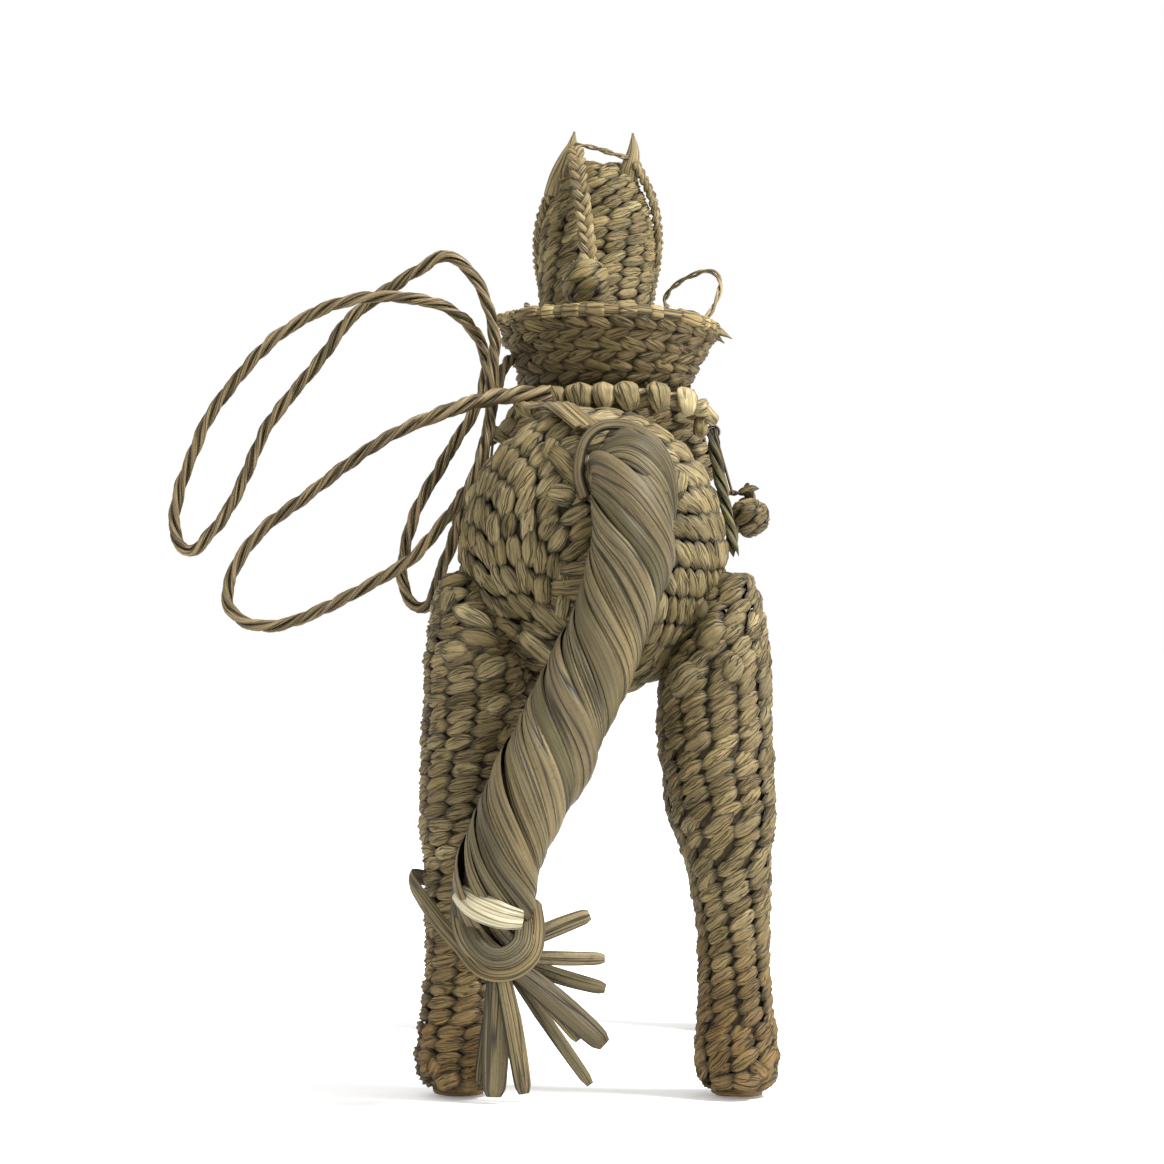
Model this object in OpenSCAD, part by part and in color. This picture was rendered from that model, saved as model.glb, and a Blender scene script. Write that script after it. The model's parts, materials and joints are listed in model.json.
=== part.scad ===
// Saddle horse woven from dried rush leaf: twined skins over stem cores, a twisted tail tied to one hind leg,
// a saddle with cantle and horn, a plaited lasso, a bridle and two hanging stirrups.
// Z is up, the head looks along +Y, and the four soles stand on Z = 0.

/* [Body] */
// Spacing of the hind and fore legs along the body
wheelbase = 178; // [150:1:220]
// Half width of the rump at its widest
rump_w = 42; // [36:0.5:48]
// Half height of the rump
rump_h = 45.5; // [42:0.5:52]
// Half width of the barrel between the legs
waist_w = 33; // [28:0.5:40]
// Half height of the barrel between the legs
waist_h = 40; // [36:0.5:46]
// Height of the barrel's long axis
barrel_z = 169.5; // [160:0.5:180]
// Thickness of the twined skin
skin_t = 4; // [3:0.5:6]

/* [Legs] */
// Distance of the hind feet from the middle
hind_foot_x = 43.5; // [38:0.5:50]
// Distance of the fore feet from the middle
fore_foot_x = 47.5; // [42:0.5:54]
// Radius of a coiled sole
sole_r = 9; // [6:0.5:11]

/* [Saddle] */
// Sideways place of the saddle, which sits a little to the right
saddle_x = 2; // [-4:0.5:6]
// Radius of the cantle at its foot
cantle_foot_r = 28; // [24:1:32]
// Radius of the cantle at its rim
cantle_rim_r = 38; // [34:1:42]
// Height of the cantle band
cantle_h = 24; // [16:1:26]
// Radius of the horn's knob
horn_r = 7.5; // [5:0.5:9]

/* [Cords] */
// Thickness of the lasso
lasso_d = 4.4; // [3:0.2:5]
// Thickness of the reins
rein_d = 2.2; // [1.6:0.2:3]
// Thickness of the saddle string
string_d = 4.6; // [3:0.2:5]

/* [Stirrups] */
// Radius of a woven stirrup
stirrup_r = 6.3; // [5:0.1:7]
// Radius of the twisted bar that a strap hangs on
bar_r = 1.5; // [1:0.1:2]

/* [Hidden] */

leaf_green = "#8a8256";
leaf_dark = "#5f5533";
leaf_pale = "#a8966c";
leaf_foot = "#7a5f33";

gap = 0.3;                  // running gap between pieces that lie on each other
hind_y = -102;              // the hind legs' own plane
fore_y = hind_y + wheelbase;
body_x = -1.5;              // the body stands a little left of the middle of the feet
rear_y = hind_y - 17;       // end of the rump
front_y = fore_y + 22;      // end of the chest
body_len = front_y - rear_y;
dome = 24;                  // depth of the rounded rump and chest
sole_h = 3;
shoulder_w = 37;
shoulder_h = 44;

// ---- Shared geometry ----

function unit(v) = v / norm(v);
function blend3(a, b, c, t) = a * (1 - t) * (1 - 2 * t) + 4 * b * t * (1 - t) + c * t * (2 * t - 1);

// A ring of n points about c, with half axes a along u and b along v
function ring(c, u, v, a, b, n) =
    [for (i = [0 : n - 1]) c + a * cos(360 * i / n) * u + b * sin(360 * i / n) * v];

// A smooth line through the points, with m steps to a span
function spline_point(p0, p1, p2, p3, t) =
    0.5 * (2 * p1 + (p2 - p0) * t + (2 * p0 - 5 * p1 + 4 * p2 - p3) * t * t
        + (3 * p1 - p0 - 3 * p2 + p3) * t * t * t);
function smooth(p, m) = let (e = len(p) - 1) concat(
    [for (i = [0 : e - 1]) for (j = [0 : m - 1])
        spline_point(p[max(i - 1, 0)], p[i], p[i + 1], p[min(i + 2, e)], j / m)],
    [p[e]]);

function heading(p, i) = unit(p[min(i + 1, len(p) - 1)] - p[max(i - 1, 0)]);

// Rings across a path, turned by a reference direction that the path never follows
function path_rings(p, radii, flat, n, ref) =
    [for (i = [0 : len(p) - 1])
        let (t = heading(p, i), u = unit(cross(t, ref)), v = cross(u, t))
        ring(p[i], u, v, radii[i], radii[i] * flat, n)];

function middle(r) = let (one = [for (q = r) 1]) one * r / len(r);
function facing(r) = let (c = middle(r), n = len(r),
    parts = [for (i = [0 : n - 1]) cross(r[i] - c, r[(i + 1) % n] - c)]) [for (q = parts) 1] * parts;

// A closed solid through rings of equal count, with its faces turned outward whichever way the rings run
module loft(rings) {
    n = len(rings[0]);
    last = len(rings) - 1;
    half = floor(last / 2);
    flip = facing(rings[half]) * (middle(rings[half + 1]) - middle(rings[half])) > 0;
    points = [for (r = rings) for (q = r) q];
    sides = [for (k = [0 : last - 1]) for (i = [0 : n - 1])
        let (j = (i + 1) % n, a = k * n, b = a + n) each [[a + i, a + j, b + j], [a + i, b + j, b + i]]];
    // each end is closed in a strip from side to side, so that an arch's crescent stays a crescent
    strip = [for (i = [0 : n / 2 - 2]) each [[i, i + 1, n - 2 - i], [i, n - 2 - i, n - 1 - i]]];
    ends = concat([for (f = strip) [f[2], f[1], f[0]]], [for (f = strip) [for (i = f) last * n + i]]);
    faces = concat(sides, ends);
    polyhedron(points, flip ? [for (f = faces) [for (i = [len(f) - 1 : -1 : 0]) f[i]]] : faces);
}

// A skin that is closed at its first ring and open at its last
module cup(outer, inner) loft(concat(outer, [for (i = [len(inner) - 1 : -1 : 0]) inner[i]]));

// Routes are written from the plane of the hind or the fore legs
function from_hind(p) = [for (q = p) q + [0, hind_y, 0]];
function from_fore(p) = [for (q = p) q + [0, fore_y, 0]];

module tube(p, r, n = 8, ref = [0, 1, 0], flat = 1) {
    loft(path_rings(p, [for (q = p) r], flat, n, ref));
}

// ---- Body, neck and head ----

function dome_at(y) = let (s = min((y - rear_y) / dome, (front_y - y) / dome, 1))
    sqrt(max(0, 1 - (1 - s) * (1 - s)));
function along(y) = max(0, min(1, (y - rear_y - dome) / (body_len - 2 * dome)));
function barrel_w(y) = blend3(rump_w, waist_w, shoulder_w, along(y));
function barrel_h(y) = blend3(rump_h, waist_h, shoulder_h, along(y));
function barrel_ring(y, inset, k = 1) =
    ring([body_x, y, barrel_z], [1, 0, 0], [0, 0, 1],
        (barrel_w(y) - inset) * k, (barrel_h(y) - inset) * k, 24);

end_steps = [0.02, 0.1, 0.25, 0.45, 0.7, 1];
mid_steps = [0.2, 0.4, 0.6, 0.8];
barrel_ys = concat([for (s = end_steps) rear_y + s * dome],
    [for (s = mid_steps) rear_y + dome + s * (body_len - 2 * dome)],
    [for (i = [len(end_steps) - 1 : -1 : 0]) front_y - end_steps[i] * dome]);

module body_shell() color(leaf_green) difference() {
    loft([for (y = barrel_ys) barrel_ring(y, 0, dome_at(y))]);
    loft([for (y = stuffing_ys) barrel_ring(y, skin_t - 0.2, dome_in(y))]);
}

function dome_in(y) = let (s = min((y - rear_y - skin_t) / dome, (front_y - skin_t - y) / dome, 1))
    sqrt(max(0.002, 1 - (1 - s) * (1 - s)));
stuffing_ys = concat([for (s = end_steps) rear_y + skin_t + s * dome],
    [for (s = mid_steps) rear_y + dome + s * (body_len - 2 * dome)],
    [for (i = [len(end_steps) - 1 : -1 : 0]) front_y - skin_t - end_steps[i] * dome]);

module body_stuffing()
    color(leaf_pale) loft([for (y = stuffing_ys) barrel_ring(y, skin_t + 0.2, dome_in(y) * 0.995)]);

// Neck stations: y from the fore legs, height, half width, half depth
neck_stations = [[-4, 198, 22, 23], [1, 212, 21, 22], [7, 228, 20.5, 20.5], [12, 244, 20.3, 19.2],
    [16, 260, 20.3, 18.4], [18.5, 274, 20.8, 18], [19.5, 287, 20.5, 17.2], [20, 298, 17.5, 15.5],
    [20, 306, 14, 12.5], [20, 311.5, 8.5, 8]];
neck_path = [for (s = neck_stations) [body_x - 0.7, fore_y + s[0], s[1]]];
function neck_rings(inset, top_drop = 0) =
    [for (i = [len(neck_stations) - 1 : -1 : 0])
        let (t = heading(neck_path, i), s = neck_stations[i], drop = i == len(neck_stations) - 1 ? top_drop : 0)
        ring(neck_path[i] - [0, 0, drop], [1, 0, 0], cross(t, [1, 0, 0]),
            max(s[2] - inset, 2), max(s[3] - inset, 2), 20)];

module neck_shell() color(leaf_green) cup(neck_rings(0), neck_rings(3.4, 3));
module neck_core() color(leaf_pale) loft(neck_rings(3.7, 3.4));

// Head stations: y from the fore legs, height, half width, half depth
head_stations = [[21, 289, 15, 13], [30, 288, 17, 15.5], [39, 280, 16.5, 15.5], [48, 269, 14, 13.5],
    [56, 258, 12, 11.5], [63, 248, 11, 10.5], [68, 241, 9.5, 9], [71, 237, 5, 5]];
head_path = [for (s = head_stations) [body_x - 0.7, fore_y + s[0], s[1]]];
function head_ring(i, out) =
    ring(head_path[i], [1, 0, 0], cross(heading(head_path, i), [1, 0, 0]),
        head_stations[i][2] + out, head_stations[i][3] + out, 20);
module head_shell() color(leaf_green) loft([for (i = [0 : len(head_stations) - 1]) head_ring(i, 0)]);

module ear(foot, tip, r)
    color(leaf_pale) loft(path_rings([foot, (foot * 2 + tip) / 3, (foot + tip * 2) / 3, tip],
        [r * 0.8, r, r * 0.6, 0.4], 0.55, 10, [0, 1, 0]));
module left_ear() ear([-9.5, fore_y + 16, 306], [-10.5, fore_y + 17, 323], 3.2);
module right_ear() ear([8, fore_y + 16, 305], [10.5, fore_y + 17, 322.5], 2.6);

mane_path = [[-4, -18.5, 247.5], [-4.3, -14.5, 259], [-5, -9.7, 275], [-6.5, -6.4, 290],
    [-8.2, -1.5, 303], [-9.5, 6, 313.5]];
module mane_braid() color(leaf_pale) tube(from_fore(smooth(mane_path, 3)), 2.6, 8, [1, 0, 0]);

module head_band(i, out, r) {
    hoop = head_ring(i, out);
    n = len(hoop);
    t = heading(head_path, i);
    rings = [for (k = [0 : n - 1])
        let (c = hoop[k], o = unit(c - head_path[i]))
        ring(c, o, t, 0.7, r, 6)];
    points = [for (q = rings) for (p = q) p];
    polyhedron(points, [for (k = [0 : n - 1]) for (j = [0 : 5])
        let (k2 = (k + 1) % n, j2 = (j + 1) % 6) each
            [[k * 6 + j, k * 6 + j2, k2 * 6 + j2], [k * 6 + j, k2 * 6 + j2, k2 * 6 + j]]]);
}
module noseband() color(leaf_pale) head_band(5, 1.1, 2);
ear_band = [[-10, 15, 315.8], [-4, 13.5, 315.6], [3, 13.5, 315.2], [9.5, 15, 315]];
module browband() color(leaf_pale) tube(from_fore(smooth(ear_band, 3)), 1, 6, [0, 0, 1]);

// Right and left cheek straps, from the ears down to the noseband
cheek_routes = [
    [[13.2, 14, 311.5], [19.5, 17, 301], [21.4, 20, 289], [20.2, 27, 277], [18, 37, 268], [15.5, 47, 259],
        [12.6, 57, 250.6]],
    [[-14.5, 14, 310.5], [-22.5, 17, 301], [-25, 20, 289], [-24.4, 27, 277], [-22.4, 37, 268], [-20, 47, 259],
        [-17, 57, 250.6]]];
module cheek_straps() color(leaf_pale)
    for (route = cheek_routes) tube(from_fore(smooth(route, 3)), 1, 6, [0.3, 1, 0.6]);

// One rein: from the noseband's right side, in a high loop to the horn, and back along the left side
rein_route = [[13, 238, 247], [17, 230, 252], [20.5, 219, 256], [22.5, 207, 258], [23.5, 195, 259],
    [22.5, 183, 262], [26, 173, 266], [32, 166, 269], [38, 160, 270], [41.2, 154, 267], [41, 148, 261],
    [37, 143, 253], [30, 140, 248.5], [20, 138.5, 250], [10, 138, 254], [0, 139.5, 256.5], [-6, 141.5, 257],
    [-13, 143.5, 256], [-20, 150, 255], [-25, 160, 256], [-27, 173, 258], [-27.5, 187, 260], [-27, 201, 259],
    [-25, 213, 256.5], [-21.5, 225, 252.5], [-17, 237, 247]];
module reins() color(leaf_pale) tube(from_hind(smooth(rein_route, 3)), rein_d / 2, 8, [0.05, 0.1, 1]);

// ---- Legs ----

// Hind leg stations: height, sideways shift inward from the foot, shift along the body, half width, half depth
hind_stations = [[3, 0, 0, 9.6, 10.5], [6, 0, 0, 12, 13], [12, 0, 0, 12.8, 13.5], [24, 0.4, 0, 11.6, 12],
    [40, 0.8, -1, 10.6, 11], [56, 1.2, -2, 10.8, 11.3], [72, 2.6, -4, 12.6, 13], [86, 4.6, -5, 16.2, 16],
    [96, 5.4, -4, 16.6, 16.5], [112, 6.6, -1, 17.6, 18], [126, 6.8, 2, 17.4, 19], [138, 5.4, 4, 15.4, 18],
    [148, 3.6, 5, 12.4, 15], [156, 1.6, 5, 8.6, 11], [162, 0.4, 5, 4.4, 6]];
fore_stations = [[3, 0, 2, 9.6, 10.5], [6, 0, 2, 11.8, 12.8], [12, 0, 2, 12.4, 13.2], [24, 0.4, 1, 11, 11.6],
    [40, 1, 0, 10, 10.6], [56, 1.6, 0, 10.2, 10.8], [70, 2.4, 1, 11.6, 12.4], [84, 3.8, 0, 12.2, 13],
    [98, 5.4, -1, 13.4, 14.6], [112, 7.2, -2, 14.8, 16.2], [126, 8.8, -2, 15, 17], [138, 9.4, -2, 13.8, 16],
    [148, 9, -2, 11, 13], [156, 8, -2, 7, 9]];

function leg_rings(stations, side, foot_x, y, inset, low, high) =
    [for (s = stations) if (s[0] >= low && s[0] <= high)
        ring([side * (foot_x - s[1]), y + s[2], s[0] + (s[0] == low ? inset * 0.6 : 0)],
            [1, 0, 0], [0, 1, 0], s[3] - inset, s[4] - inset, 16)];
module leg(stations, side, foot_x, y, top) color(leaf_green)
    difference() {
        loft(leg_rings(stations, side, foot_x, y, 0, sole_h, 200));
        loft(leg_rings(stations, side, foot_x, y, 2.8, 6, top));
    }
module left_hind_leg() leg(hind_stations, -1, hind_foot_x, hind_y, 148);
module right_hind_leg() leg(hind_stations, 1, hind_foot_x, hind_y, 148);
module left_fore_leg() leg(fore_stations, -1, fore_foot_x, fore_y, 138);
module right_fore_leg() leg(fore_stations, 1, fore_foot_x, fore_y, 138);

// Bundles of stems inside the four legs
module leg_cores() color(leaf_pale)
    for (side = [-1, 1]) {
        loft(leg_rings(hind_stations, side, hind_foot_x, hind_y, 3.1, 6, 148));
        loft(leg_rings(fore_stations, side, fore_foot_x, fore_y, 3.1, 6, 138));
    }

module foot_soles() color(leaf_foot)
    for (side = [-1, 1]) {
        translate([side * hind_foot_x, hind_y, 0]) cylinder(r = sole_r, h = sole_h, $fn = 48);
        translate([side * fore_foot_x, fore_y + 2, 0]) cylinder(r = sole_r, h = sole_h, $fn = 48);
    }

// Folded pads where each hind leg is bound to the rump
module hip_knots() color(leaf_pale)
    for (side = [-1, 1]) translate([side * 38.5, hind_y - 17.2, 145]) sphere(r = 4.4, $fn = 32);

// ---- Tail ----

// Tail stations: place across, place behind the hind legs, height, radius
tail_stations = [[8.5, -7, 205, 7.5], [9.2, -17.5, 200.5, 10.2], [10.6, -26.5, 191, 12], [11.2, -31.5, 179.5, 11.8],
    [10.2, -33, 167, 12], [6.6, -33.5, 154, 11.5], [0.8, -33.5, 138, 11.8], [-7.2, -34, 122, 12.3],
    [-15, -35.5, 106, 12.5], [-23, -37, 90.5, 12.3], [-28.8, -37, 75.5, 11.9], [-31.2, -34.5, 62.5, 12],
    [-32.3, -28, 53, 10.6], [-31.6, -20.5, 48.6, 8.6]];
tail_path = from_hind([for (s = tail_stations) [s[0], s[1], s[2]]]);
tail_radii = [for (s = tail_stations) s[3]];
tail_line = smooth(tail_path, 3);
tail_line_r = smooth(tail_radii, 3);
module tail_bundle() color(leaf_pale) loft(path_rings(tail_line, tail_line_r, 1, 16, [0, 1, 0.2]));

// A hoop of leaf round the tail between two of its line's points
module tail_hoop(first, last, t) {
    p = [for (i = [first : last]) tail_line[i]];
    outer = [for (i = [first : last]) tail_line_r[i] + gap + t * (i == first || i == last ? 0.6 : 1)];
    inner = [for (i = [first : last]) tail_line_r[i] + gap];
    difference() {
        loft(path_rings(p, outer, 1, 16, [0, 1, 0.2]));
        loft(path_rings(concat([2 * p[0] - p[1]], [for (i = [1 : len(p) - 2]) p[i]],
            [2 * p[len(p) - 1] - p[len(p) - 2]]), inner, 1, 16, [0, 1, 0.2]));
    }
}
module tail_collar() color(leaf_pale) tail_hoop(1, 4, 2);
module tail_binding() color(leaf_pale) tail_hoop(34, 37, 2.2);

// Loose leaf ends below the binding: angle from straight right, length, width, layer
fringe_leaves = [[24, 30.7, 5.5, 0], [-2, 32.7, 4.5, 1], [-18, 34.5, 5, 2], [-40, 42.6, 7.8, 0], [-47, 36, 4, 1],
    [-55, 49, 4.2, 2], [-79.5, 43.2, 6, 0], [-92, 43.8, 8.5, 1], [-99, 40, 3.4, 2]];
fringe_root = [-30, hind_y - 20, 45.5];
fringe_start = 10.5;
module tail_fringe() color(leaf_pale)
    for (f = fringe_leaves)
        translate(fringe_root + [0, (f[3] - 1) * 2.2, 0]) rotate([0, -f[0], 0])
            translate([fringe_start, -0.4, -f[2] / 2]) cube([f[1] - fringe_start, 0.8, f[2]]);

// Leaf strip that ties the tail's end round the left hind leg
tie_route = [[-41.5, -40.5, 50], [-48, -32, 56], [-54, -20, 63], [-57.4, -8, 68], [-54, 7, 67], [-44, 13.2, 63],
    [-33, 10.4, 58], [-28, 0, 54], [-28.2, -8, 51], [-30.5, -13, 49]];
module tie_strip() color(leaf_dark)
    tube(smooth(from_hind(tie_route), 3), 2.2, 8, [0, 0.05, 1], 0.4);

crupper_route = [[-24, 84, 219], [-21, 66, 217], [-18, 46, 215.7], [-15, 26, 215.2], [-12, 8, 214.8],
    [-8.5, -4, 212], [-3, -11, 207]];
module crupper_strand() color(leaf_pale)
    tube(smooth(from_hind(crupper_route), 3), 3, 8, [1, 0, 0], 0.45);

// ---- Saddle ----

cantle_y = hind_y + 123;    // centre of the cantle's curve
cantle_z = 224.5;           // foot of the cantle band

// An arch over the barrel: its inner line follows the barrel, and its thickness falls off to the sides
function arch_ring(y, spread, lift, side_t, top_t, cx, steps = 14) =
    let (a = barrel_w(y) + lift, b = barrel_h(y) + lift,
        angles = [for (i = [0 : steps]) -spread + 2 * spread * i / steps],
        over = [for (g = angles) let (t = side_t + (top_t - side_t) * pow(cos(90 * g / spread), 2))
            [cx + (a + t) * sin(g), y, barrel_z + (b + t) * cos(g)]],
        under = [for (i = [steps : -1 : 0]) [cx + a * sin(angles[i]), y, barrel_z + b * cos(angles[i])]])
    concat(over, under);

skirt_ys = [70, 76, 90, 105, 120, 135, 144, 150];
module saddle_skirt() color(leaf_green)
    loft([for (i = [0 : len(skirt_ys) - 1]) let (edge = i == 0 || i == len(skirt_ys) - 1)
        arch_ring(hind_y + skirt_ys[i], edge ? 50 : 60, 1, edge ? 1.4 : 2.6, edge ? 1.4 : 2.6, body_x)]);
seat_ys = [84, 92, 104, 118, 130, 138];
seat_tops = [11, 10.6, 9, 8, 8.6, 10];
module saddle_seat() color(leaf_green)
    loft([for (i = [0 : len(seat_ys) - 1])
        arch_ring(hind_y + seat_ys[i], 36, 4, 1.5, seat_tops[i], body_x)]);

module cantle() color(leaf_green)
    translate([saddle_x, cantle_y, cantle_z]) rotate([0, 0, 270 - 68])
        rotate_extrude(angle = 136, $fn = 96)
            polygon([[cantle_foot_r - 2, 0], [cantle_foot_r + 2, 0],
                [cantle_rim_r + 1.8, cantle_h], [cantle_rim_r - 1.8, cantle_h]]);
module cantle_rim() color(leaf_dark)
    translate([saddle_x, cantle_y, cantle_z + cantle_h + 2.5]) rotate([0, 0, 270 - 74])
        rotate_extrude(angle = 150, $fn = 96) translate([cantle_rim_r + 0.4, 0]) circle(r = 2.4, $fn = 32);

roll_route = [[-31, 106, 215.5], [-24.5, 96.4, 219.6], [-12, 90.8, 221.6], [3.5, 89, 222.2], [19, 90.8, 221.8],
    [31, 97.4, 219.6], [36, 106, 217.4]];
module base_roll() color(leaf_pale)
    tube(smooth(from_hind(roll_route), 4), 3.7, 12, [0, 0, 1]);

fork_ys = [141, 144, 149, 154, 157];
fork_tops = [24, 32.5, 35.5, 32.5, 22];
module saddle_fork() color(leaf_green)
    loft([for (i = [0 : len(fork_ys) - 1])
        arch_ring(hind_y + fork_ys[i], 58, 4, i == 0 || i == len(fork_ys) - 1 ? 3 : 6, fork_tops[i], saddle_x)]);
horn_at = [-5.5, hind_y + 149, 251];
module saddle_horn() color(leaf_pale) translate(horn_at) {
    translate([0, 0, -3]) cylinder(r = 4, h = 13, $fn = 40);
    translate([0, 0, 14]) sphere(r = horn_r, $fn = 48);
}

bar_y = hind_y + 112;
bars = [[-37.5, 209.5], [38.5, 211.5]];     // sideways place and height of the left and right bars
module corner_knots() color(leaf_pale)
    for (b = bars) translate([b[0] + (b[0] > 0 ? 0 : 1), bar_y - 3.5, b[1] + 1]) rotate([90, 0, 0])
        cylinder(r = 4.6, h = 6.5, $fn = 40, center = true);
module strap_bars() color(leaf_dark)
    for (b = bars) translate([b[0], bar_y, b[1]]) rotate([-90, 0, 0]) cylinder(r = bar_r, h = 12, $fn = 40);

// The girth's band hangs round the belly, below the skirt's edges
function girth_ring(y) =
    let (a = barrel_w(y) + 1, b = barrel_h(y) + 1, t = 1.4, angles = [for (i = [0 : 24]) 64 + 232 * i / 24])
    concat([for (g = angles) [body_x + (a + t) * sin(g), y, barrel_z + (b + t) * cos(g)]],
        [for (i = [24 : -1 : 0]) [body_x + a * sin(angles[i]), y, barrel_z + b * cos(angles[i])]]);
module girth() color(leaf_pale) loft([for (shift = [-5, 5]) girth_ring(hind_y + 128 + shift)]);

// ---- Lasso and saddle string ----

// One plaited cord: from the roll's left corner in a low loop, a high loop and a short loop, then to the horn
lasso_route = [[-17, 83, 222.5], [-28, 77, 222.5], [-40, 70, 220], [-51, 66, 216], [-63, 64, 211], [-74, 64, 205],
    [-86, 64, 196.5], [-98, 64, 187], [-109, 64, 179], [-117, 64, 170], [-122, 64, 160], [-122, 64, 152],
    [-117, 64, 147], [-108, 64, 145.5], [-98, 64, 148], [-86, 64, 153.5], [-74, 64, 160], [-65, 65, 165.5],
    [-59, 66, 170.5], [-53, 67, 178], [-46.5, 69, 186], [-42, 72, 194], [-38.5, 76, 203.5], [-36.5, 79, 213],
    [-36.3, 80, 224], [-35, 79, 241], [-38, 77, 254], [-43, 76, 263], [-51, 76, 268.5], [-60, 77, 264],
    [-69, 79, 258.5], [-76, 80, 253.5], [-84, 80, 247], [-92.5, 79, 235], [-103, 78, 222], [-111, 77, 211],
    [-116.5, 76, 198.5], [-123, 76, 185], [-130, 76, 175.5], [-136, 76, 170], [-140.5, 76, 174],
    [-141.5, 76, 181], [-139.5, 75, 191], [-134.5, 74, 204], [-129.5, 73, 215], [-120.5, 72, 227],
    [-109.5, 71, 239], [-98, 70, 247], [-87, 69, 252], [-75, 69, 254.3], [-64, 70, 254], [-53, 73, 252],
    [-46, 78, 248], [-40.5, 84, 241.5], [-38, 88, 233], [-39.5, 88.5, 224], [-43.2, 87, 215.5],
    [-49, 86, 206], [-54.5, 86, 196.5], [-60.3, 86, 186.5], [-64, 86, 176.5], [-66, 86, 167],
    [-66, 86, 159], [-61.5, 86, 151.5], [-56.5, 86, 153.5], [-54, 86, 161.5], [-50.5, 86, 170.5],
    [-47, 87, 180.5], [-43.5, 88, 190.5], [-40.5, 89.5, 200.5], [-38, 91, 210.5], [-36, 94, 221],
    [-33.5, 99, 231], [-30, 110, 236.5], [-23, 122, 242], [-15.5, 134, 249.5], [-11, 142, 254.5]];
module lasso() color(leaf_pale)
    tube(from_hind(lasso_route), lasso_d / 2, 8, [0, 1, 0.12]);

string_route = [[38, 97, 211.5], [38.2, 95, 206.5], [39.5, 94, 199], [41.3, 94, 190], [43.3, 94, 180],
    [45.5, 94, 168.5]];
module saddle_string() color(leaf_green)
    tube(from_hind(string_route), string_d / 2, 8, [0, 1, 0]);

// ---- Stirrups ----

stirrup_y = bar_y + 6;
pin_z = 190.5;
strap_feet = [-39.6, 44.5];     // where the left and right straps end, across
stirrup_x = [-44.6, 51];        // middle of the left and right stirrups, across

// A leaf strap looped on its bar, with a short twisted pin at its foot
module strap(i) color(leaf_dark) {
    side = i == 0 ? -1 : 1;
    top = [bars[i][0], bars[i][1]];
    foot = [strap_feet[i], pin_z];
    lean = atan2(foot[0] - top[0], top[1] - foot[1]);
    reach = norm(foot - top);
    difference() {
        union() {
            translate([top[0], stirrup_y, top[1]]) rotate([90, 0, 0])
                cylinder(r = bar_r + 1.1, h = 5.6, $fn = 40, center = true);
            translate([top[0], stirrup_y, top[1]]) rotate([0, -lean, 0])
                translate([-0.6, -2.8, -reach]) cube([1.2, 5.6, reach - bar_r - 0.4]);
        }
        translate([top[0], stirrup_y, top[1]]) rotate([90, 0, 0])
            cylinder(r = bar_r + 0.08, h = 8, $fn = 40, center = true);
    }
    translate([strap_feet[i] - side * 0.5, stirrup_y, pin_z]) rotate([0, side * 90, 0])
        cylinder(r = 1.1, h = abs(stirrup_x[i] - strap_feet[i]) + 2.6, $fn = 40);
}
module left_strap() strap(0);
module right_strap() strap(1);

// A closed woven stirrup hanging from its pin by a leaf loop
module stirrup(i) color(leaf_green)
    translate([stirrup_x[i], stirrup_y, pin_z]) difference() {
        union() {
            rotate([0, 90, 0]) cylinder(r = 2.2, h = 2.6, $fn = 40, center = true);
            translate([0, 0, -stirrup_r - 1.9]) sphere(r = stirrup_r, $fn = 48);
        }
        rotate([0, 90, 0]) cylinder(r = 1.18, h = 20, $fn = 40, center = true);
    }
module left_stirrup() stirrup(0);
module right_stirrup() stirrup(1);

body_shell();
body_stuffing();
neck_shell();
neck_core();
head_shell();
left_ear();
right_ear();
mane_braid();
browband();
noseband();
cheek_straps();
reins();
left_hind_leg();
right_hind_leg();
left_fore_leg();
right_fore_leg();
leg_cores();
foot_soles();
hip_knots();
tail_bundle();
tail_collar();
tail_binding();
tail_fringe();
tie_strip();
crupper_strand();
saddle_skirt();
saddle_seat();
cantle();
cantle_rim();
base_roll();
saddle_fork();
saddle_horn();
corner_knots();
strap_bars();
girth();
lasso();
saddle_string();
left_strap();
right_strap();
left_stirrup();
right_stirrup();
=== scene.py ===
"""A saddle horse woven from dried rush leaf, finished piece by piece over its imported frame."""
import json
import math
import random

import bmesh
import bpy
from mathutils import Matrix, Vector
from mathutils.bvhtree import BVHTree

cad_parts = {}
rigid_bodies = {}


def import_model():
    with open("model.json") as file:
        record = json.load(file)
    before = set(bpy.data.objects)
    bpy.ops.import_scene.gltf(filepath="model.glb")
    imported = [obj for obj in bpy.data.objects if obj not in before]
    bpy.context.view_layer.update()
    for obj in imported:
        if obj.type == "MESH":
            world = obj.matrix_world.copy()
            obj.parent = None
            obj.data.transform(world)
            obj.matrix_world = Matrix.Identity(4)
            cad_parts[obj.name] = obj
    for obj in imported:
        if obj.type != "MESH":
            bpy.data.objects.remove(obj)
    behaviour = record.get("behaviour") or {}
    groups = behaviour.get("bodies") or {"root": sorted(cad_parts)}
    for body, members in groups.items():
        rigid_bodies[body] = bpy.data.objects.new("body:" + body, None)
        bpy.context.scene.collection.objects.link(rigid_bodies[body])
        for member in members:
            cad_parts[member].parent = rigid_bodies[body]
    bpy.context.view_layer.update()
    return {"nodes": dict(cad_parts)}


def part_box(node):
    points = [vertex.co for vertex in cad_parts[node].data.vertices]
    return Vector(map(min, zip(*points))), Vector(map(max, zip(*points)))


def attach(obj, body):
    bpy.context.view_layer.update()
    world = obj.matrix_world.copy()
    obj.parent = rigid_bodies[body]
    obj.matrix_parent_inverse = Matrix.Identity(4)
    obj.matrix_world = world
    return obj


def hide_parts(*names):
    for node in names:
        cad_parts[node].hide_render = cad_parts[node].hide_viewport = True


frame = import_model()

mm = 0.001

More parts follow.
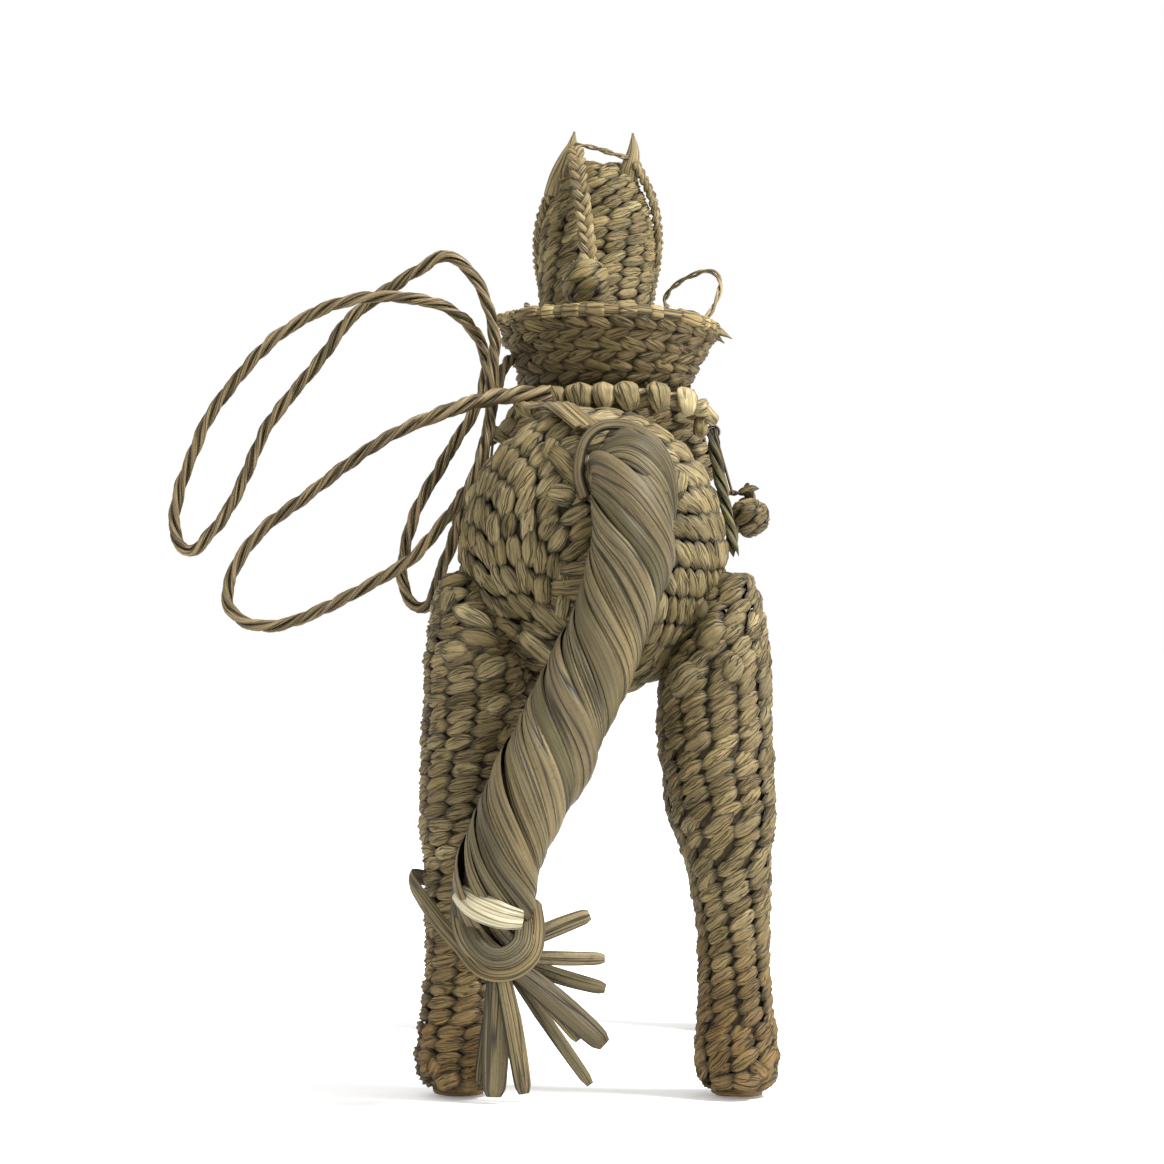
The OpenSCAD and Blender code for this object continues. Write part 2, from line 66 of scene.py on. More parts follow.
# ---- Table, light and camera ----
# The horse stands on a pale table under soft light from above right. The camera looks at the rump from
# behind, level with the belly, and stands a little to the horse's right.
soles_low, soles_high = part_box("foot_soles")
hind_y = soles_low.y + 9 * mm
fore_y = soles_high.y - 11 * mm


def colour(code):
    """A linear colour with alpha from an sRGB hex code."""
    parts = [int(code[i:i + 2], 16) / 255 for i in (1, 3, 5)]
    return [c / 12.92 if c <= 0.04045 else ((c + 0.055) / 1.055) ** 2.4 for c in parts] + [1.0]


def add(tree, kind, inputs=None, **settings):
    """Adds a node to a tree, with its settings, its values and what is linked into it."""
    made = tree.nodes.new(kind)
    for key, value in settings.items():
        setattr(made, key, value)
    for key, value in (inputs or {}).items():
        if isinstance(value, bpy.types.NodeSocket):
            tree.links.new(value, made.inputs[key])
        else:
            made.inputs[key].default_value = value
    return made


def table_finish():
    """Matt pale card, very slightly uneven, with a faint light of its own so that shadows on it stay soft."""
    card = bpy.data.materials.new("pale_card")
    card.use_nodes = True
    tree = card.node_tree
    shader = tree.nodes["Principled BSDF"]
    place = add(tree, "ShaderNodeTexCoord")
    grain = add(tree, "ShaderNodeTexNoise", {"Vector": place.outputs["Object"], "Scale": 40.0})
    tint = add(tree, "ShaderNodeMix", {"Factor": grain.outputs["Fac"], "A": colour("#f9f9f8"),
                                       "B": colour("#f5f5f4")}, data_type="RGBA")
    tree.links.new(tint.outputs["Result"], shader.inputs["Base Color"])
    shader.inputs["Roughness"].default_value = 0.9
    shader.inputs["Emission Color"].default_value = colour("#ffffff")
    shader.inputs["Emission Strength"].default_value = 0.2
    return card


bpy.ops.mesh.primitive_plane_add(size=12, location=(0, 1.0, -0.0005))
table = bpy.context.object
table.name = "table_top"
table.data.materials.append(table_finish())

world = bpy.data.worlds.new("studio")
bpy.context.scene.world = world
world.use_nodes = True
world.node_tree.nodes["Background"].inputs["Color"].default_value = colour("#ffffff")
world.node_tree.nodes["Background"].inputs["Strength"].default_value = 1.0
bpy.context.scene.view_settings.view_transform = "Standard"

# Each lamp: its name, its place and width in metres, and its power in watts.
lamps = [("key", (0.9, -0.42, 1.32), 0.45, 50.0), ("fill", (-1.0, -1.0, 0.9), 0.9, 2.0)]
lit_spot = Vector((0, 0, 170 * mm))
for lamp_name, spot, lamp_width, power in lamps:
    lamp = bpy.data.lights.new(lamp_name, "AREA")
    lamp.size = lamp_width
    lamp.energy = power
    holder = bpy.data.objects.new(lamp_name, lamp)
    bpy.context.scene.collection.objects.link(holder)
    holder.location = spot
    holder.rotation_euler = (lit_spot - Vector(spot)).to_track_quat("-Z", "Y").to_euler()

camera_away, camera_height = 1200 * mm, 160 * mm
camera_data = bpy.data.cameras.new("camera")
camera_data.lens = 118.8
camera = bpy.data.objects.new("camera", camera_data)
bpy.context.scene.collection.objects.link(camera)
camera.location = (13.4 * mm, hind_y - camera_away, camera_height)
aim = Vector((-4.7 * mm, hind_y, camera_height))
camera.rotation_euler = (aim - camera.location).to_track_quat("-Z", "Y").to_euler()
bpy.context.scene.camera = camera

# ---- Lasso ----
# One cord of three leaf strands twisted together, stiff enough to stand. It starts broad under the saddle's
# left corner, makes a low loop, a high loop and a short loop, and is tied to the horn.
lasso_d = 4.4 * mm
lasso_route = [
    (-17, 83, 222.5), (-28, 77, 222.5), (-40, 70, 220), (-51, 66, 216), (-63, 64, 211), (-74, 64, 205),
    (-86, 64, 196.5), (-98, 64, 187), (-109, 64, 179), (-117, 64, 170), (-122, 64, 160), (-122, 64, 152),
    (-117, 64, 147), (-108, 64, 145.5), (-98, 64, 148), (-86, 64, 153.5), (-74, 64, 160), (-65, 65, 165.5),
    (-59, 66, 170.5), (-53, 67, 178), (-46.5, 69, 186), (-42, 72, 194), (-38.5, 76, 203.5), (-36.5, 79, 213),
    (-36.3, 80, 224), (-35, 79, 241), (-38, 77, 254), (-43, 76, 263), (-51, 76, 268.5), (-60, 77, 264),
    (-69, 79, 258.5), (-76, 80, 253.5), (-84, 80, 247), (-92.5, 79, 235), (-103, 78, 222), (-111, 77, 211),
    (-116.5, 76, 198.5), (-123, 76, 185), (-130, 76, 175.5), (-136, 76, 170), (-140.5, 76, 174),
    (-141.5, 76, 181), (-139.5, 75, 191), (-134.5, 74, 204), (-129.5, 73, 215), (-120.5, 72, 227),
    (-109.5, 71, 239), (-98, 70, 247), (-87, 69, 252), (-75, 69, 254.3), (-64, 70, 254), (-53, 73, 252),
    (-46, 78, 248), (-40.5, 84, 241.5), (-38, 88, 233), (-39.5, 88.5, 224), (-43.2, 87, 215.5),
    (-49, 86, 206), (-54.5, 86, 196.5), (-60.3, 86, 186.5), (-64, 86, 176.5), (-66, 86, 167),
    (-66, 86, 159), (-61.5, 86, 151.5), (-56.5, 86, 153.5), (-54, 86, 161.5), (-50.5, 86, 170.5),
    (-47, 87, 180.5), (-43.5, 88, 190.5), (-40.5, 89.5, 200.5), (-38, 91, 210.5), (-36, 94, 221),
    (-33.5, 99, 231), (-30, 110, 236.5), (-23, 122, 242), (-15.5, 134, 249.5), (-11, 142, 254.5)]


def from_legs(points, leg_y):
    """Points given in millimetres from a pair of legs, as places in the frame."""
    return [Vector((x * mm, leg_y + y * mm, z * mm)) for x, y, z in points]


def smooth_line(points, spacing):
    """A smooth line through the points, cut into equal steps."""
    fine = []
    last = len(points) - 1
    for i in range(last):
        a, b, c, d = (points[max(i - 1, 0)], points[i], points[i + 1], points[min(i + 2, last)])
        for k in range(12):
            t = k / 12
            fine.append(0.5 * (2 * b + (c - a) * t + (2 * a - 5 * b + 4 * c - d) * t * t
                               + (3 * b - a - 3 * c + d) * t ** 3))
    fine.append(points[last])
    lengths = [0.0]
    for p, q in zip(fine, fine[1:]):
        lengths.append(lengths[-1] + (q - p).length)
    count = max(2, round(lengths[-1] / spacing))
    line, j = [], 0
    for k in range(count + 1):
        want = lengths[-1] * k / count
        while j < len(lengths) - 2 and lengths[j + 1] < want:
            j += 1
        share = (want - lengths[j]) / max(lengths[j + 1] - lengths[j], 1e-9)
        line.append(fine[j].lerp(fine[j + 1], min(max(share, 0), 1)))
    return line


def line_length(line):
    return sum((q - p).length for p, q in zip(line, line[1:]))


def heading_at(line, i):
    return (line[min(i + 1, len(line) - 1)] - line[max(i - 1, 0)]).normalized()


def frames_on(line, side=None):
    """The heading and two cross directions at each point, turned as little as possible along the line."""
    across = (side or Vector((0.11, 1, 0.07))).cross(heading_at(line, 0)).normalized()
    made = []
    for i in range(len(line)):
        heading = heading_at(line, i)
        across = (across - heading * across.dot(heading)).normalized()
        made.append((heading, across, heading.cross(across)))
    return made


def sized(width, at):
    """A width that is one number, or a function of the place along a leaf."""
    return width(at) if callable(width) else width


class Leafwork:
    """Gathers strands and strips of leaf into one mesh, with a UV along each leaf and a tone of its own."""

    def __init__(self, seed):
        self.points, self.faces, self.uvs, self.tones, self.kinds = [], [], [], [], []
        self.chance = random.Random(seed)

    def sleeve(self, loops, tone, kind=0, closed=False):
        """A skin through loops of equal count, closed at both ends or into a hoop. u counts 8 mm of leaf."""
        n = len(loops[0])
        base = len(self.points)
        for loop in loops:
            self.points.extend(loop)
            self.tones.extend([tone] * n)
        along = self.chance.uniform(0, 9)
        count = len(loops)
        for k in range(count if closed else count - 1):
            k2 = (k + 1) % count
            ahead = along + (loops[k2][0] - loops[k][0]).length / (8 * mm)
            for j in range(n):
                j2 = (j + 1) % n
                a, b = base + k * n, base + k2 * n
                self.faces.append((a + j, a + j2, b + j2, b + j))
                v, v2 = j / n, (j + 1) / n
                self.uvs.append(((along, v), (along, v2), (ahead, v2), (ahead, v)))
                self.kinds.append(kind)
            along = ahead
        if not closed:
            for k, turn in ((0, -1), (count - 1, 1)):
                ring = [base + k * n + j for j in range(n)][::turn]
                self.faces.append(tuple(ring))
                self.uvs.append(tuple((along, 0.5) for _ in ring))
                self.kinds.append(kind)

    def strand(self, line, side, wide, thick, offset=None, tone=None, sides=10, crease=0.16, taper=0.0,
               kind=0):
        """A rounded strand on a line, or beside it by offset. wide and thick are half its width and half its
        thickness, each a number or a function of the distance along the line, and taper draws in its ends."""
        wrinkle = [self.chance.uniform(0, math.tau) for _ in range(3)]
        loops, run = [], 0.0
        total = line_length(line)
        for i, (p, (heading, u, v)) in enumerate(zip(line, frames_on(line, side))):
            if i:
                run += (p - line[i - 1]).length
            out, turn = offset(run) if offset else (0.0, 0.0)
            centre = p + u * out * math.cos(turn) + v * out * math.sin(turn)
            eu, ev = u * math.cos(turn) + v * math.sin(turn), v * math.cos(turn) - u * math.sin(turn)
            end = max(0.08, min(1.0, min(run, total - run) / taper)) if taper else 1.0
            loop = []
            for j in range(sides):
                a = math.tau * j / sides
                broad_fold = 0.5 + 0.5 * math.sin(3 * a + wrinkle[0] + run * 190)
                fine_fold = 0.6 * math.sin(5 * a + wrinkle[1] - run * 260)
                size = (1 - crease * (broad_fold + fine_fold)) * end
                loop.append(centre + ev * sized(wide, run) * math.cos(a) * size
                            + eu * sized(thick, run) * math.sin(a) * size)
            loops.append(loop)
        self.sleeve(loops, self.chance.random() if tone is None else tone, kind=kind)

    def strip(self, line, normals, wide, thick, tone=None, curl=0.0, cells=6, kind=0, ribs=0.12 * mm,
              closed=False):
        """A flat leaf strip with its outward direction at each point. wide is a number or a function of the
        share of the way along it, curl lifts its middle, and ribs is the height of the ribs along it."""
        loops = []
        phase = self.chance.uniform(0, math.tau)
        for i, p in enumerate(line):
            if closed:
                heading = (line[(i + 1) % len(line)] - line[i - 1]).normalized()
            else:
                heading = heading_at(line, i)
            up = (normals[i] - heading * normals[i].dot(heading)).normalized()
            side = heading.cross(up)
            half = sized(wide, i / (len(line) - 1)) / 2
            top, under = [], []
            for j in range(cells + 1):
                s = -1 + 2 * j / cells
                lift = curl * half * (1 - s * s) + ribs * math.cos(s * 9 + phase)
                top.append(p + side * half * s + up * (lift + thick / 2 * (1 - 0.6 * s * s)))
                under.append(p + side * half * s + up * (lift - thick / 2 * (1 - 0.6 * s * s)))
            loops.append(under + top[::-1])
        self.sleeve(loops, self.chance.random() if tone is None else tone, kind=kind, closed=closed)

    def twist(self, line, diameter, turn_length, strands=3, taper=0.0, side=None, swell=None):
        """Strands of folded leaf laid up round a line, with one turn in each turn_length. swell gives how
        much thicker they are at a distance along it."""
        grow = swell or (lambda run: 1.0)
        for k in range(strands):
            lump = self.chance.uniform(0, math.tau)
            out = 0.262 if strands > 2 else 0.25
            self.strand(
                line, side,
                wide=lambda run, s=lump: diameter * 0.27 * grow(run) * (1 + 0.10 * math.sin(run * 420 + s)),
                thick=lambda run, s=lump: diameter * 0.235 * grow(run) * (1 + 0.12 * math.sin(run * 330 + s)),
                offset=lambda run, k=k: (diameter * out * grow(run),
                                         math.tau * (k / strands - run / turn_length)),
                taper=taper)

    def plait(self, line, side, half_width, depth, wave, radius):
        """A flat three-strand plait on a line, with its face towards side. A strand goes from edge to edge
        and back in each wave."""
        for k in range(3):
            start = math.tau * k / 3
            path, run = [], 0.0
            for i, (p, (heading, u, v)) in enumerate(zip(line, frames_on(line, side))):
                if i:
                    run += (p - line[i - 1]).length
                a = start + math.tau * run / wave
                path.append(p + u * half_width * math.sin(a) + v * depth * math.sin(2 * a))
            self.strand(path, side, wide=radius, thick=radius * 0.8, sides=8)

    def piece(self, name, body, slot, *materials):
        """The finished mesh as a piece that rides on a body."""
        mesh = bpy.data.meshes.new(name)
        mesh.from_pydata([tuple(p) for p in self.points], [], self.faces)
        layer = mesh.uv_layers.new(name="UVMap")
        layer.data.foreach_set("uv", [c for uv in self.uvs for pair in uv for c in pair])
        mesh.attributes.new("tone", "FLOAT", "POINT").data.foreach_set("value", self.tones)
        mesh.polygons.foreach_set("use_smooth", [True] * len(mesh.polygons))
        for material in materials:
            mesh.materials.append(material)
        mesh.polygons.foreach_set("material_index", self.kinds)
        outward(mesh)
        made = bpy.data.objects.new(name, mesh)
        bpy.context.scene.collection.objects.link(made)
        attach(made, body)
        return made


def outward(mesh):
    """Turns every closed part of a mesh the right way out."""
    work = bmesh.new()
    work.from_mesh(mesh)
    bmesh.ops.recalc_face_normals(work, faces=work.faces)
    work.to_mesh(mesh)
    work.free()
    mesh.update()


def leaf_finish(name, tones, folds, fibres, ends=0.0, rough=0.6, foot=None, speckle=0.0, cut=0.26, run=1.0,
                dim=0.6, edge=None):
    """Dried leaf, matt with a faint sheen: a tone for each leaf, dark fold lines and fine fibres along it,
    and slow patches. folds and fibres are counted across a leaf, run is how fast they change along it, and
    cut is how dark a fold is. dim is how dark the leaf has weathered, ends is how dark the painted shade is
    towards a stitch's ends and sides, where it dives under its neighbours, foot tints the lowest 60 mm and
    speckle adds brown spots. edge gives the middle of a strip's face round its section, how far the face
    reaches and how dark the painted shade along its margins is, where it meets the next leaf or strand."""
    fold_depth = 0.5 * mm
    warmth = (1.0, 0.94, 0.76)
    leaf = bpy.data.materials.new(name)
    leaf.use_nodes = True
    tree = leaf.node_tree
    shader = tree.nodes["Principled BSDF"]
    uv = add(tree, "ShaderNodeUVMap", uv_map="UVMap")
    tone = add(tree, "ShaderNodeAttribute", attribute_name="tone")
    place = add(tree, "ShaderNodeTexCoord")
    jump = add(tree, "ShaderNodeVectorMath", {0: tone.outputs["Color"], 1: (37.0, 53.0, 19.0)},
               operation="MULTIPLY")

    def along_leaf(u, v, **more):
        """Noise stretched along the leaf, different on every leaf."""
        cell = add(tree, "ShaderNodeVectorMath", {0: uv.outputs["UV"], 1: (u * run, v, 1.0)},
                   operation="MULTIPLY")
        moved = add(tree, "ShaderNodeVectorMath", {0: cell.outputs["Vector"], 1: jump.outputs["Vector"]})
        return add(tree, "ShaderNodeTexNoise", {"Vector": moved.outputs["Vector"], "Scale": 1.0, **more})

    fold = along_leaf(0.7, folds, Detail=1.5)
    fibre = along_leaf(1.6, fibres, Detail=3.0, Roughness=0.65)
    streak = along_leaf(0.8, folds * 0.35, Detail=2.0)
    patch = add(tree, "ShaderNodeTexNoise", {"Vector": place.outputs["Object"], "Scale": 60.0, "Detail": 2.0})
    ramp = add(tree, "ShaderNodeValToRGB", {"Fac": tone.outputs["Fac"]})
    while len(ramp.color_ramp.elements) < len(tones):
        ramp.color_ramp.elements.new(0.5)
    for i, code in enumerate(tones):
        ramp.color_ramp.elements[i].position = i / (len(tones) - 1)
        ramp.color_ramp.elements[i].color = [c * dim * w for c, w in zip(colour(code), warmth)] + [1.0]
    base = ramp.outputs["Color"]
    if foot:
        height = add(tree, "ShaderNodeSeparateXYZ", {"Vector": place.outputs["Object"]})
        low = add(tree, "ShaderNodeMapRange", {"Value": height.outputs["Z"], "From Min": 0.060,
                                               "From Max": 0.020, "To Max": 0.6})
        base = add(tree, "ShaderNodeMix", {"Factor": low.outputs["Result"], "A": base, "B": colour(foot)},
                   data_type="RGBA").outputs["Result"]

    def shade(under, value, low, high, first, last):
        """Multiplies a colour by a grey that goes from first to last as a value goes from low to high."""
        grey = add(tree, "ShaderNodeMapRange", {"Value": value, "From Min": low, "From Max": high,
                                                "To Min": first, "To Max": last})
        tint = add(tree, "ShaderNodeCombineXYZ", {0: grey.outputs["Result"], 1: grey.outputs["Result"],
                                                  2: grey.outputs["Result"]})
        return add(tree, "ShaderNodeMix", {"Factor": 1.0, "A": under, "B": tint.outputs["Vector"]},
                   data_type="RGBA", blend_type="MULTIPLY").outputs["Result"]

    from_middle = add(tree, "ShaderNodeMath", {0: fold.outputs["Fac"], 1: 0.5}, operation="SUBTRACT")
    near_line = add(tree, "ShaderNodeMath", {0: from_middle.outputs["Value"]}, operation="ABSOLUTE")
    line = add(tree, "ShaderNodeMapRange", {"Value": near_line.outputs["Value"], "From Max": 0.04})
    base = shade(base, line.outputs["Result"], low=0.0, high=1.0, first=cut, last=1.0)
    base = shade(base, fibre.outputs["Fac"], low=0.36, high=0.64, first=0.62, last=1.22)
    base = shade(base, streak.outputs["Fac"], low=0.35, high=0.65, first=0.8, last=1.14)
    base = shade(base, patch.outputs["Fac"], low=0.3, high=0.7, first=0.84, last=1.12)
    parts = add(tree, "ShaderNodeSeparateXYZ", {"Vector": uv.outputs["UV"]})
    # Painted shade along the margins of a strip's face or a strand's sides, where it meets the next leaf or
    # strand.
    if edge:
        face_middle, face_reach, margin_shade = edge
        aside = add(tree, "ShaderNodeMath", {0: parts.outputs["Y"], 1: face_middle}, operation="SUBTRACT")
        off = add(tree, "ShaderNodeMath", {0: aside.outputs["Value"]}, operation="ABSOLUTE")
        base = shade(base, off.outputs["Value"], low=face_reach - 0.06, high=face_reach, first=1.0,
                     last=margin_shade)
    # Painted shade: each stitch darkens towards its ends and sides, where it dives under its neighbours.
    if ends:
        for part, inner in (("X", 0.30), ("Y", 0.34)):
            centred = add(tree, "ShaderNodeMath", {0: parts.outputs[part], 1: 0.5}, operation="SUBTRACT")
            far = add(tree, "ShaderNodeMath", {0: centred.outputs["Value"]}, operation="ABSOLUTE")
            base = shade(base, far.outputs["Value"], low=inner, high=0.5, first=1.0, last=ends)
    if speckle:
        spots = add(tree, "ShaderNodeTexNoise", {"Vector": place.outputs["Object"], "Scale": 900.0,
                                                 "Detail": 2.0})
        near = add(tree, "ShaderNodeMapRange", {"Value": spots.outputs["Fac"], "From Min": 0.58,
                                                "From Max": 0.68, "To Max": speckle})
        base = add(tree, "ShaderNodeMix", {"Factor": near.outputs["Result"], "A": base,
                                           "B": colour("#43371f")}, data_type="RGBA").outputs["Result"]
    tree.links.new(base, shader.inputs["Base Color"])
    shader.inputs["Roughness"].default_value = rough
    shader.inputs["Specular IOR Level"].default_value = 0.3
    height = add(tree, "ShaderNodeMath", {0: line.outputs["Result"], 1: fibre.outputs["Fac"]},
                 operation="ADD")
    relief = add(tree, "ShaderNodeBump", {"Height": height.outputs["Value"], "Strength": 1.0,
                                          "Distance": fold_depth})
    tree.links.new(relief.outputs["Normal"], shader.inputs["Normal"])
    return leaf


# Old folded leaf, twisted hard: matt brown, with painted shade in the grooves between its strands.
cord_leaf = leaf_finish("plaited_cord_leaf", ["#8d7b57", "#a89672", "#766548", "#bba988", "#8f7f5e"],
                        folds=4.0, fibres=10.0, run=0.3, edge=(0.25, 0.27, 0.42))
lasso_line = smooth_line(from_legs(lasso_route, hind_y), 1.6 * mm)
work = Leafwork(seed=3)
work.twist(lasso_line, lasso_d, turn_length=30 * mm,
           swell=lambda run: 1 + 0.55 * max(0.0, 1 - run / (60 * mm)))
lasso = work.piece("lasso_cord", "root", "cord_leaf", cord_leaf)
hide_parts("lasso")

# ---- Reins ----
# A thin two-strand cord from the noseband's right side, in a high loop behind the cantle, round the horn and
# back along the left of the neck.
rein_d = 2.2 * mm
rein_route = [
    (13, 238, 247), (17, 230, 252), (20.5, 219, 256), (22.5, 207, 258), (23.5, 195, 259), (22.5, 183, 262),
    (26, 173, 266), (32, 166, 269), (38, 160, 270), (41.2, 154, 267), (41, 148, 261), (37, 143, 253),
    (30, 140, 248.5), (20, 138.5, 250), (10, 138, 254), (0, 139.5, 256.5), (-6, 141.5, 257),
    (-13, 143.5, 256), (-20, 150, 255), (-25, 160, 256), (-27, 173, 258), (-27.5, 187, 260), (-27, 201, 259),
    (-25, 213, 256.5), (-21.5, 225, 252.5), (-17, 237, 247)]
# Thin dry leaf: pale, with few folds.
rein_leaf = leaf_finish("rein_leaf", ["#978766", "#a89878", "#877756"], folds=3.0, fibres=6.0, run=0.3,
                        dim=0.95)
rein_line = smooth_line(from_legs(rein_route, hind_y), 1.0 * mm)
work = Leafwork(seed=5)
work.twist(rein_line, rein_d, turn_length=18 * mm, strands=2)
rein = work.piece("rein_cord", "root", "pale_leaf", rein_leaf)
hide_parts("reins")

# ---- Saddle string ----
# A greener plait that hangs from the saddle's right corner and ends in a bare tip.
string_d = 4.6 * mm
string_route = [(38, 97, 211.5), (38.2, 95, 206.5), (39.5, 94, 199), (41.3, 94, 190), (43.3, 94, 180),
                (45.5, 94, 168.5)]
# Leaf dried in the shade: it keeps some green, and painted shade makes its grooves almost black.
string_leaf = leaf_finish("green_cord_leaf", ["#6a6644", "#7a7450", "#8b845f", "#5c583a"], folds=3.5,
                          fibres=9.0, run=0.3, edge=(0.25, 0.27, 0.3))
string_line = smooth_line(from_legs(string_route, hind_y), 1.2 * mm)
work = Leafwork(seed=8)
work.twist(string_line, string_d, turn_length=24 * mm, taper=4 * mm)
string = work.piece("saddle_string_cord", "root", "green_leaf", string_leaf)
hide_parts("saddle_string")

# ---- Body skin ----
# The barrel is twined forward from the middle of the rump: folded leaf strands cross in rings and leave flat
# slanted stitches with pleats along them. The stuffing under them is coloured as painted shade, dark in the
# gaps.


class Surface:
    """The outside of a CAD node, found by casting rays at it."""

    def __init__(self, name, reach=0.09):
        mesh = frame["nodes"][name].data
        self.tree = BVHTree.FromPolygons([v.co.copy() for v in mesh.vertices],
                                         [tuple(p.vertices) for p in mesh.polygons])
        self.reach = reach

    def touch(self, origin, direction):
        return self.tree.ray_cast(origin + direction * self.reach, -direction, self.reach)[0]

    def facing(self, start, direction, far=0.4):
        """The first place that a ray meets from outside, and the surface's outward direction there."""
        place, normal = self.tree.ray_cast(start, direction, far)[:2]
        if place is not None and normal.dot(direction) > 0:
            normal = -normal
        return place, normal


def stations(foot, top, foot_dome=None, top_dome=None, step=0.4 * mm):
    """Ray origins up an axis, with the tilt of the rays out of their level plane. A dome has the point that
    its rays swing towards, or None for an open end."""
    axis = (top - foot).normalized()
    made = []
    if foot_dome is not None:
        pole = (foot_dome - foot).normalized()
        made += [(foot, axis, pole, math.radians(a)) for a in range(87, 0, -1)]
    count = max(2, round((top - foot).length / step))
    made += [(foot.lerp(top, k / count), axis, axis, 0.0) for k in range(count + 1)]
    if top_dome is not None:
        pole = (top_dome - top).normalized()
        made += [(top, axis, pole, math.radians(a)) for a in range(1, 88)]
    return made


def rings_on(surface, places, first_side, samples=72):
    """A ring of touched points for each station; a point that misses is None."""
    made = []
    for origin, axis, pole, tilt in places:
        u = (first_side - axis * first_side.dot(axis)).normalized()
        v = axis.cross(u)
        ring = []
        for k in range(samples):
            a = math.tau * k / samples
            level = u * math.cos(a) + v * math.sin(a)
            ring.append(surface.touch(origin, (level * math.cos(tilt) + pole * math.sin(tilt)).normalized()))
        made.append(ring)
    return made


def ring_gap(a, b):
    gaps = [(p - q).length for p, q in zip(a, b) if p and q]
    return sum(gaps) / len(gaps) if gaps else 0.0


class Weave:
    """Places for stitches on a surface: where each lies, how it is turned, its size and its tone."""

    def __init__(self, seed):
        self.chance = random.Random(seed)
        self.spots, self.turns, self.sizes, self.tones = [], [], [], []

    def lay(self, place, along, normal, slant, length, width, height, tone=None, loose=4.0):
        """One stitch. Its slant is in degrees from along, anticlockwise as seen from outside, and loose is
        how much slants vary."""
        normal = normal.normalized()
        along = (along - normal * along.dot(normal)).normalized()
        lean = math.radians(slant) + self.chance.gauss(0, math.radians(loose))
        x = along * math.cos(lean) + normal.cross(along) * math.sin(lean)
        tilt = self.chance.gauss(0, 0.07)
        up = (normal + normal.cross(x) * tilt).normalized()
        turn = Matrix((x, up.cross(x), up)).transposed().to_euler()
        self.spots.append(tuple(place + normal * self.chance.uniform(-0.3, 0.3) * mm))
        self.turns.append(tuple(turn))
        vary = self.chance.uniform
        self.sizes.append((length * vary(0.9, 1.12), width * vary(0.88, 1.12), height * vary(0.85, 1.15)))
        self.tones.append(self.chance.random() if tone is None else tone)

    def twine(self, surface, places, side, pitch, step, slant, drift=0.16, overlap=1.3, plump=1.9 * mm,
              sink=0.9 * mm, fewest=4, keep=None, width=1.22, fine=3.1 * mm):
        """Rows of stitches up a surface, pitch apart, with a stitch at every step along a row. drift is how
        many stitches further along each row starts, overlap and width are a stitch's length and width against
        its room, plump is its height and sink how deep it sits. keep says which stitches stay. Where rows
        crowd closer than fine, every other row is left out and the rest are twice as wide."""
        rings = rings_on(surface, places, side)
        run, wanted, row, count, phase = 0.0, pitch / 2, 0, 0, 0.0
        for k in range(1, len(rings) - 1):
            run += ring_gap(rings[k - 1], rings[k])
            if run < wanted:
                continue
            wanted += pitch
            ring, before, after = rings[k], rings[max(k - 3, 0)], rings[min(k + 3, len(rings) - 1)]
            mean_gap = max(ring_gap(before, after), 1e-6)
            n = len(ring)
            spans = [(ring[(j + 1) % n] - ring[j]).length if ring[j] and ring[(j + 1) % n] else 0.0
                     for j in range(n)]
            around = sum(spans)
            fit = around / step
            if not count or abs(fit - count) > 0.8:
                count = max(fewest, round(fit))
            phase += drift
            ends = [0.0]
            for s in spans:
                ends.append(ends[-1] + s)
            for i in range(count):
                want = around * (((i + phase) % count) / count)
                j = max(m for m in range(n) if ends[m] <= want + 1e-9)
                a, b = ring[j], ring[(j + 1) % n]
                if not (a and b and before[j] and after[j]):
                    continue
                place = a.lerp(b, min(max((want - ends[j]) / max(spans[j], 1e-9), 0), 1))
                wider, back = ring[(j + 2) % n] or b, ring[(j - 1) % n] or a
                along = (wider - back).normalized()
                normal = along.cross(after[j] - before[j]).normalized()
                if normal.dot(place - places[k][0]) < 0:
                    normal = -normal
                share = min(max((after[j] - before[j]).length / mean_gap, 0.3), 1.6)
                crowded = pitch * share < fine
                if (crowded and row % 2) or (keep and not keep(place)):
                    continue
                self.lay(place - normal * sink, along, normal, slant, length=around / count * overlap,
                         width=pitch * share * width * (2 if crowded else 1), height=plump)
            row += 1

    def cloth(self, name, form, body, material, crumple=0.5 * mm):
        """Sets a leaf form at each place with Geometry Nodes, and keeps the result as a plain mesh."""
        carrier = bpy.data.meshes.new(name)
        carrier.from_pydata(self.spots, [], [])
        for key, values in (("turn", self.turns), ("size", self.sizes)):
            layer = carrier.attributes.new(key, "FLOAT_VECTOR", "POINT")
            layer.data.foreach_set("vector", [c for v in values for c in v])
        carrier.attributes.new("tone", "FLOAT", "POINT").data.foreach_set("value", self.tones)
        made = bpy.data.objects.new(name, carrier)
        bpy.context.scene.collection.objects.link(made)
        modifier = made.modifiers.new("stitches", "NODES")
        modifier.node_group = stitch_tree
        sockets = {s.name: s.identifier for s in stitch_tree.interface.items_tree if s.in_out == "INPUT"}
        modifier[sockets["Leaf form"]] = form
        modifier[sockets["Crumple"]] = crumple
        modifier[sockets["Leaf"]] = material
        made.data.update()
        settled = made.evaluated_get(bpy.context.evaluated_depsgraph_get())
        plain = bpy.data.meshes.new_from_object(settled)
        made.modifiers.clear()
        made.data = plain
        plain.name = name
        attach(made, body)
        return made


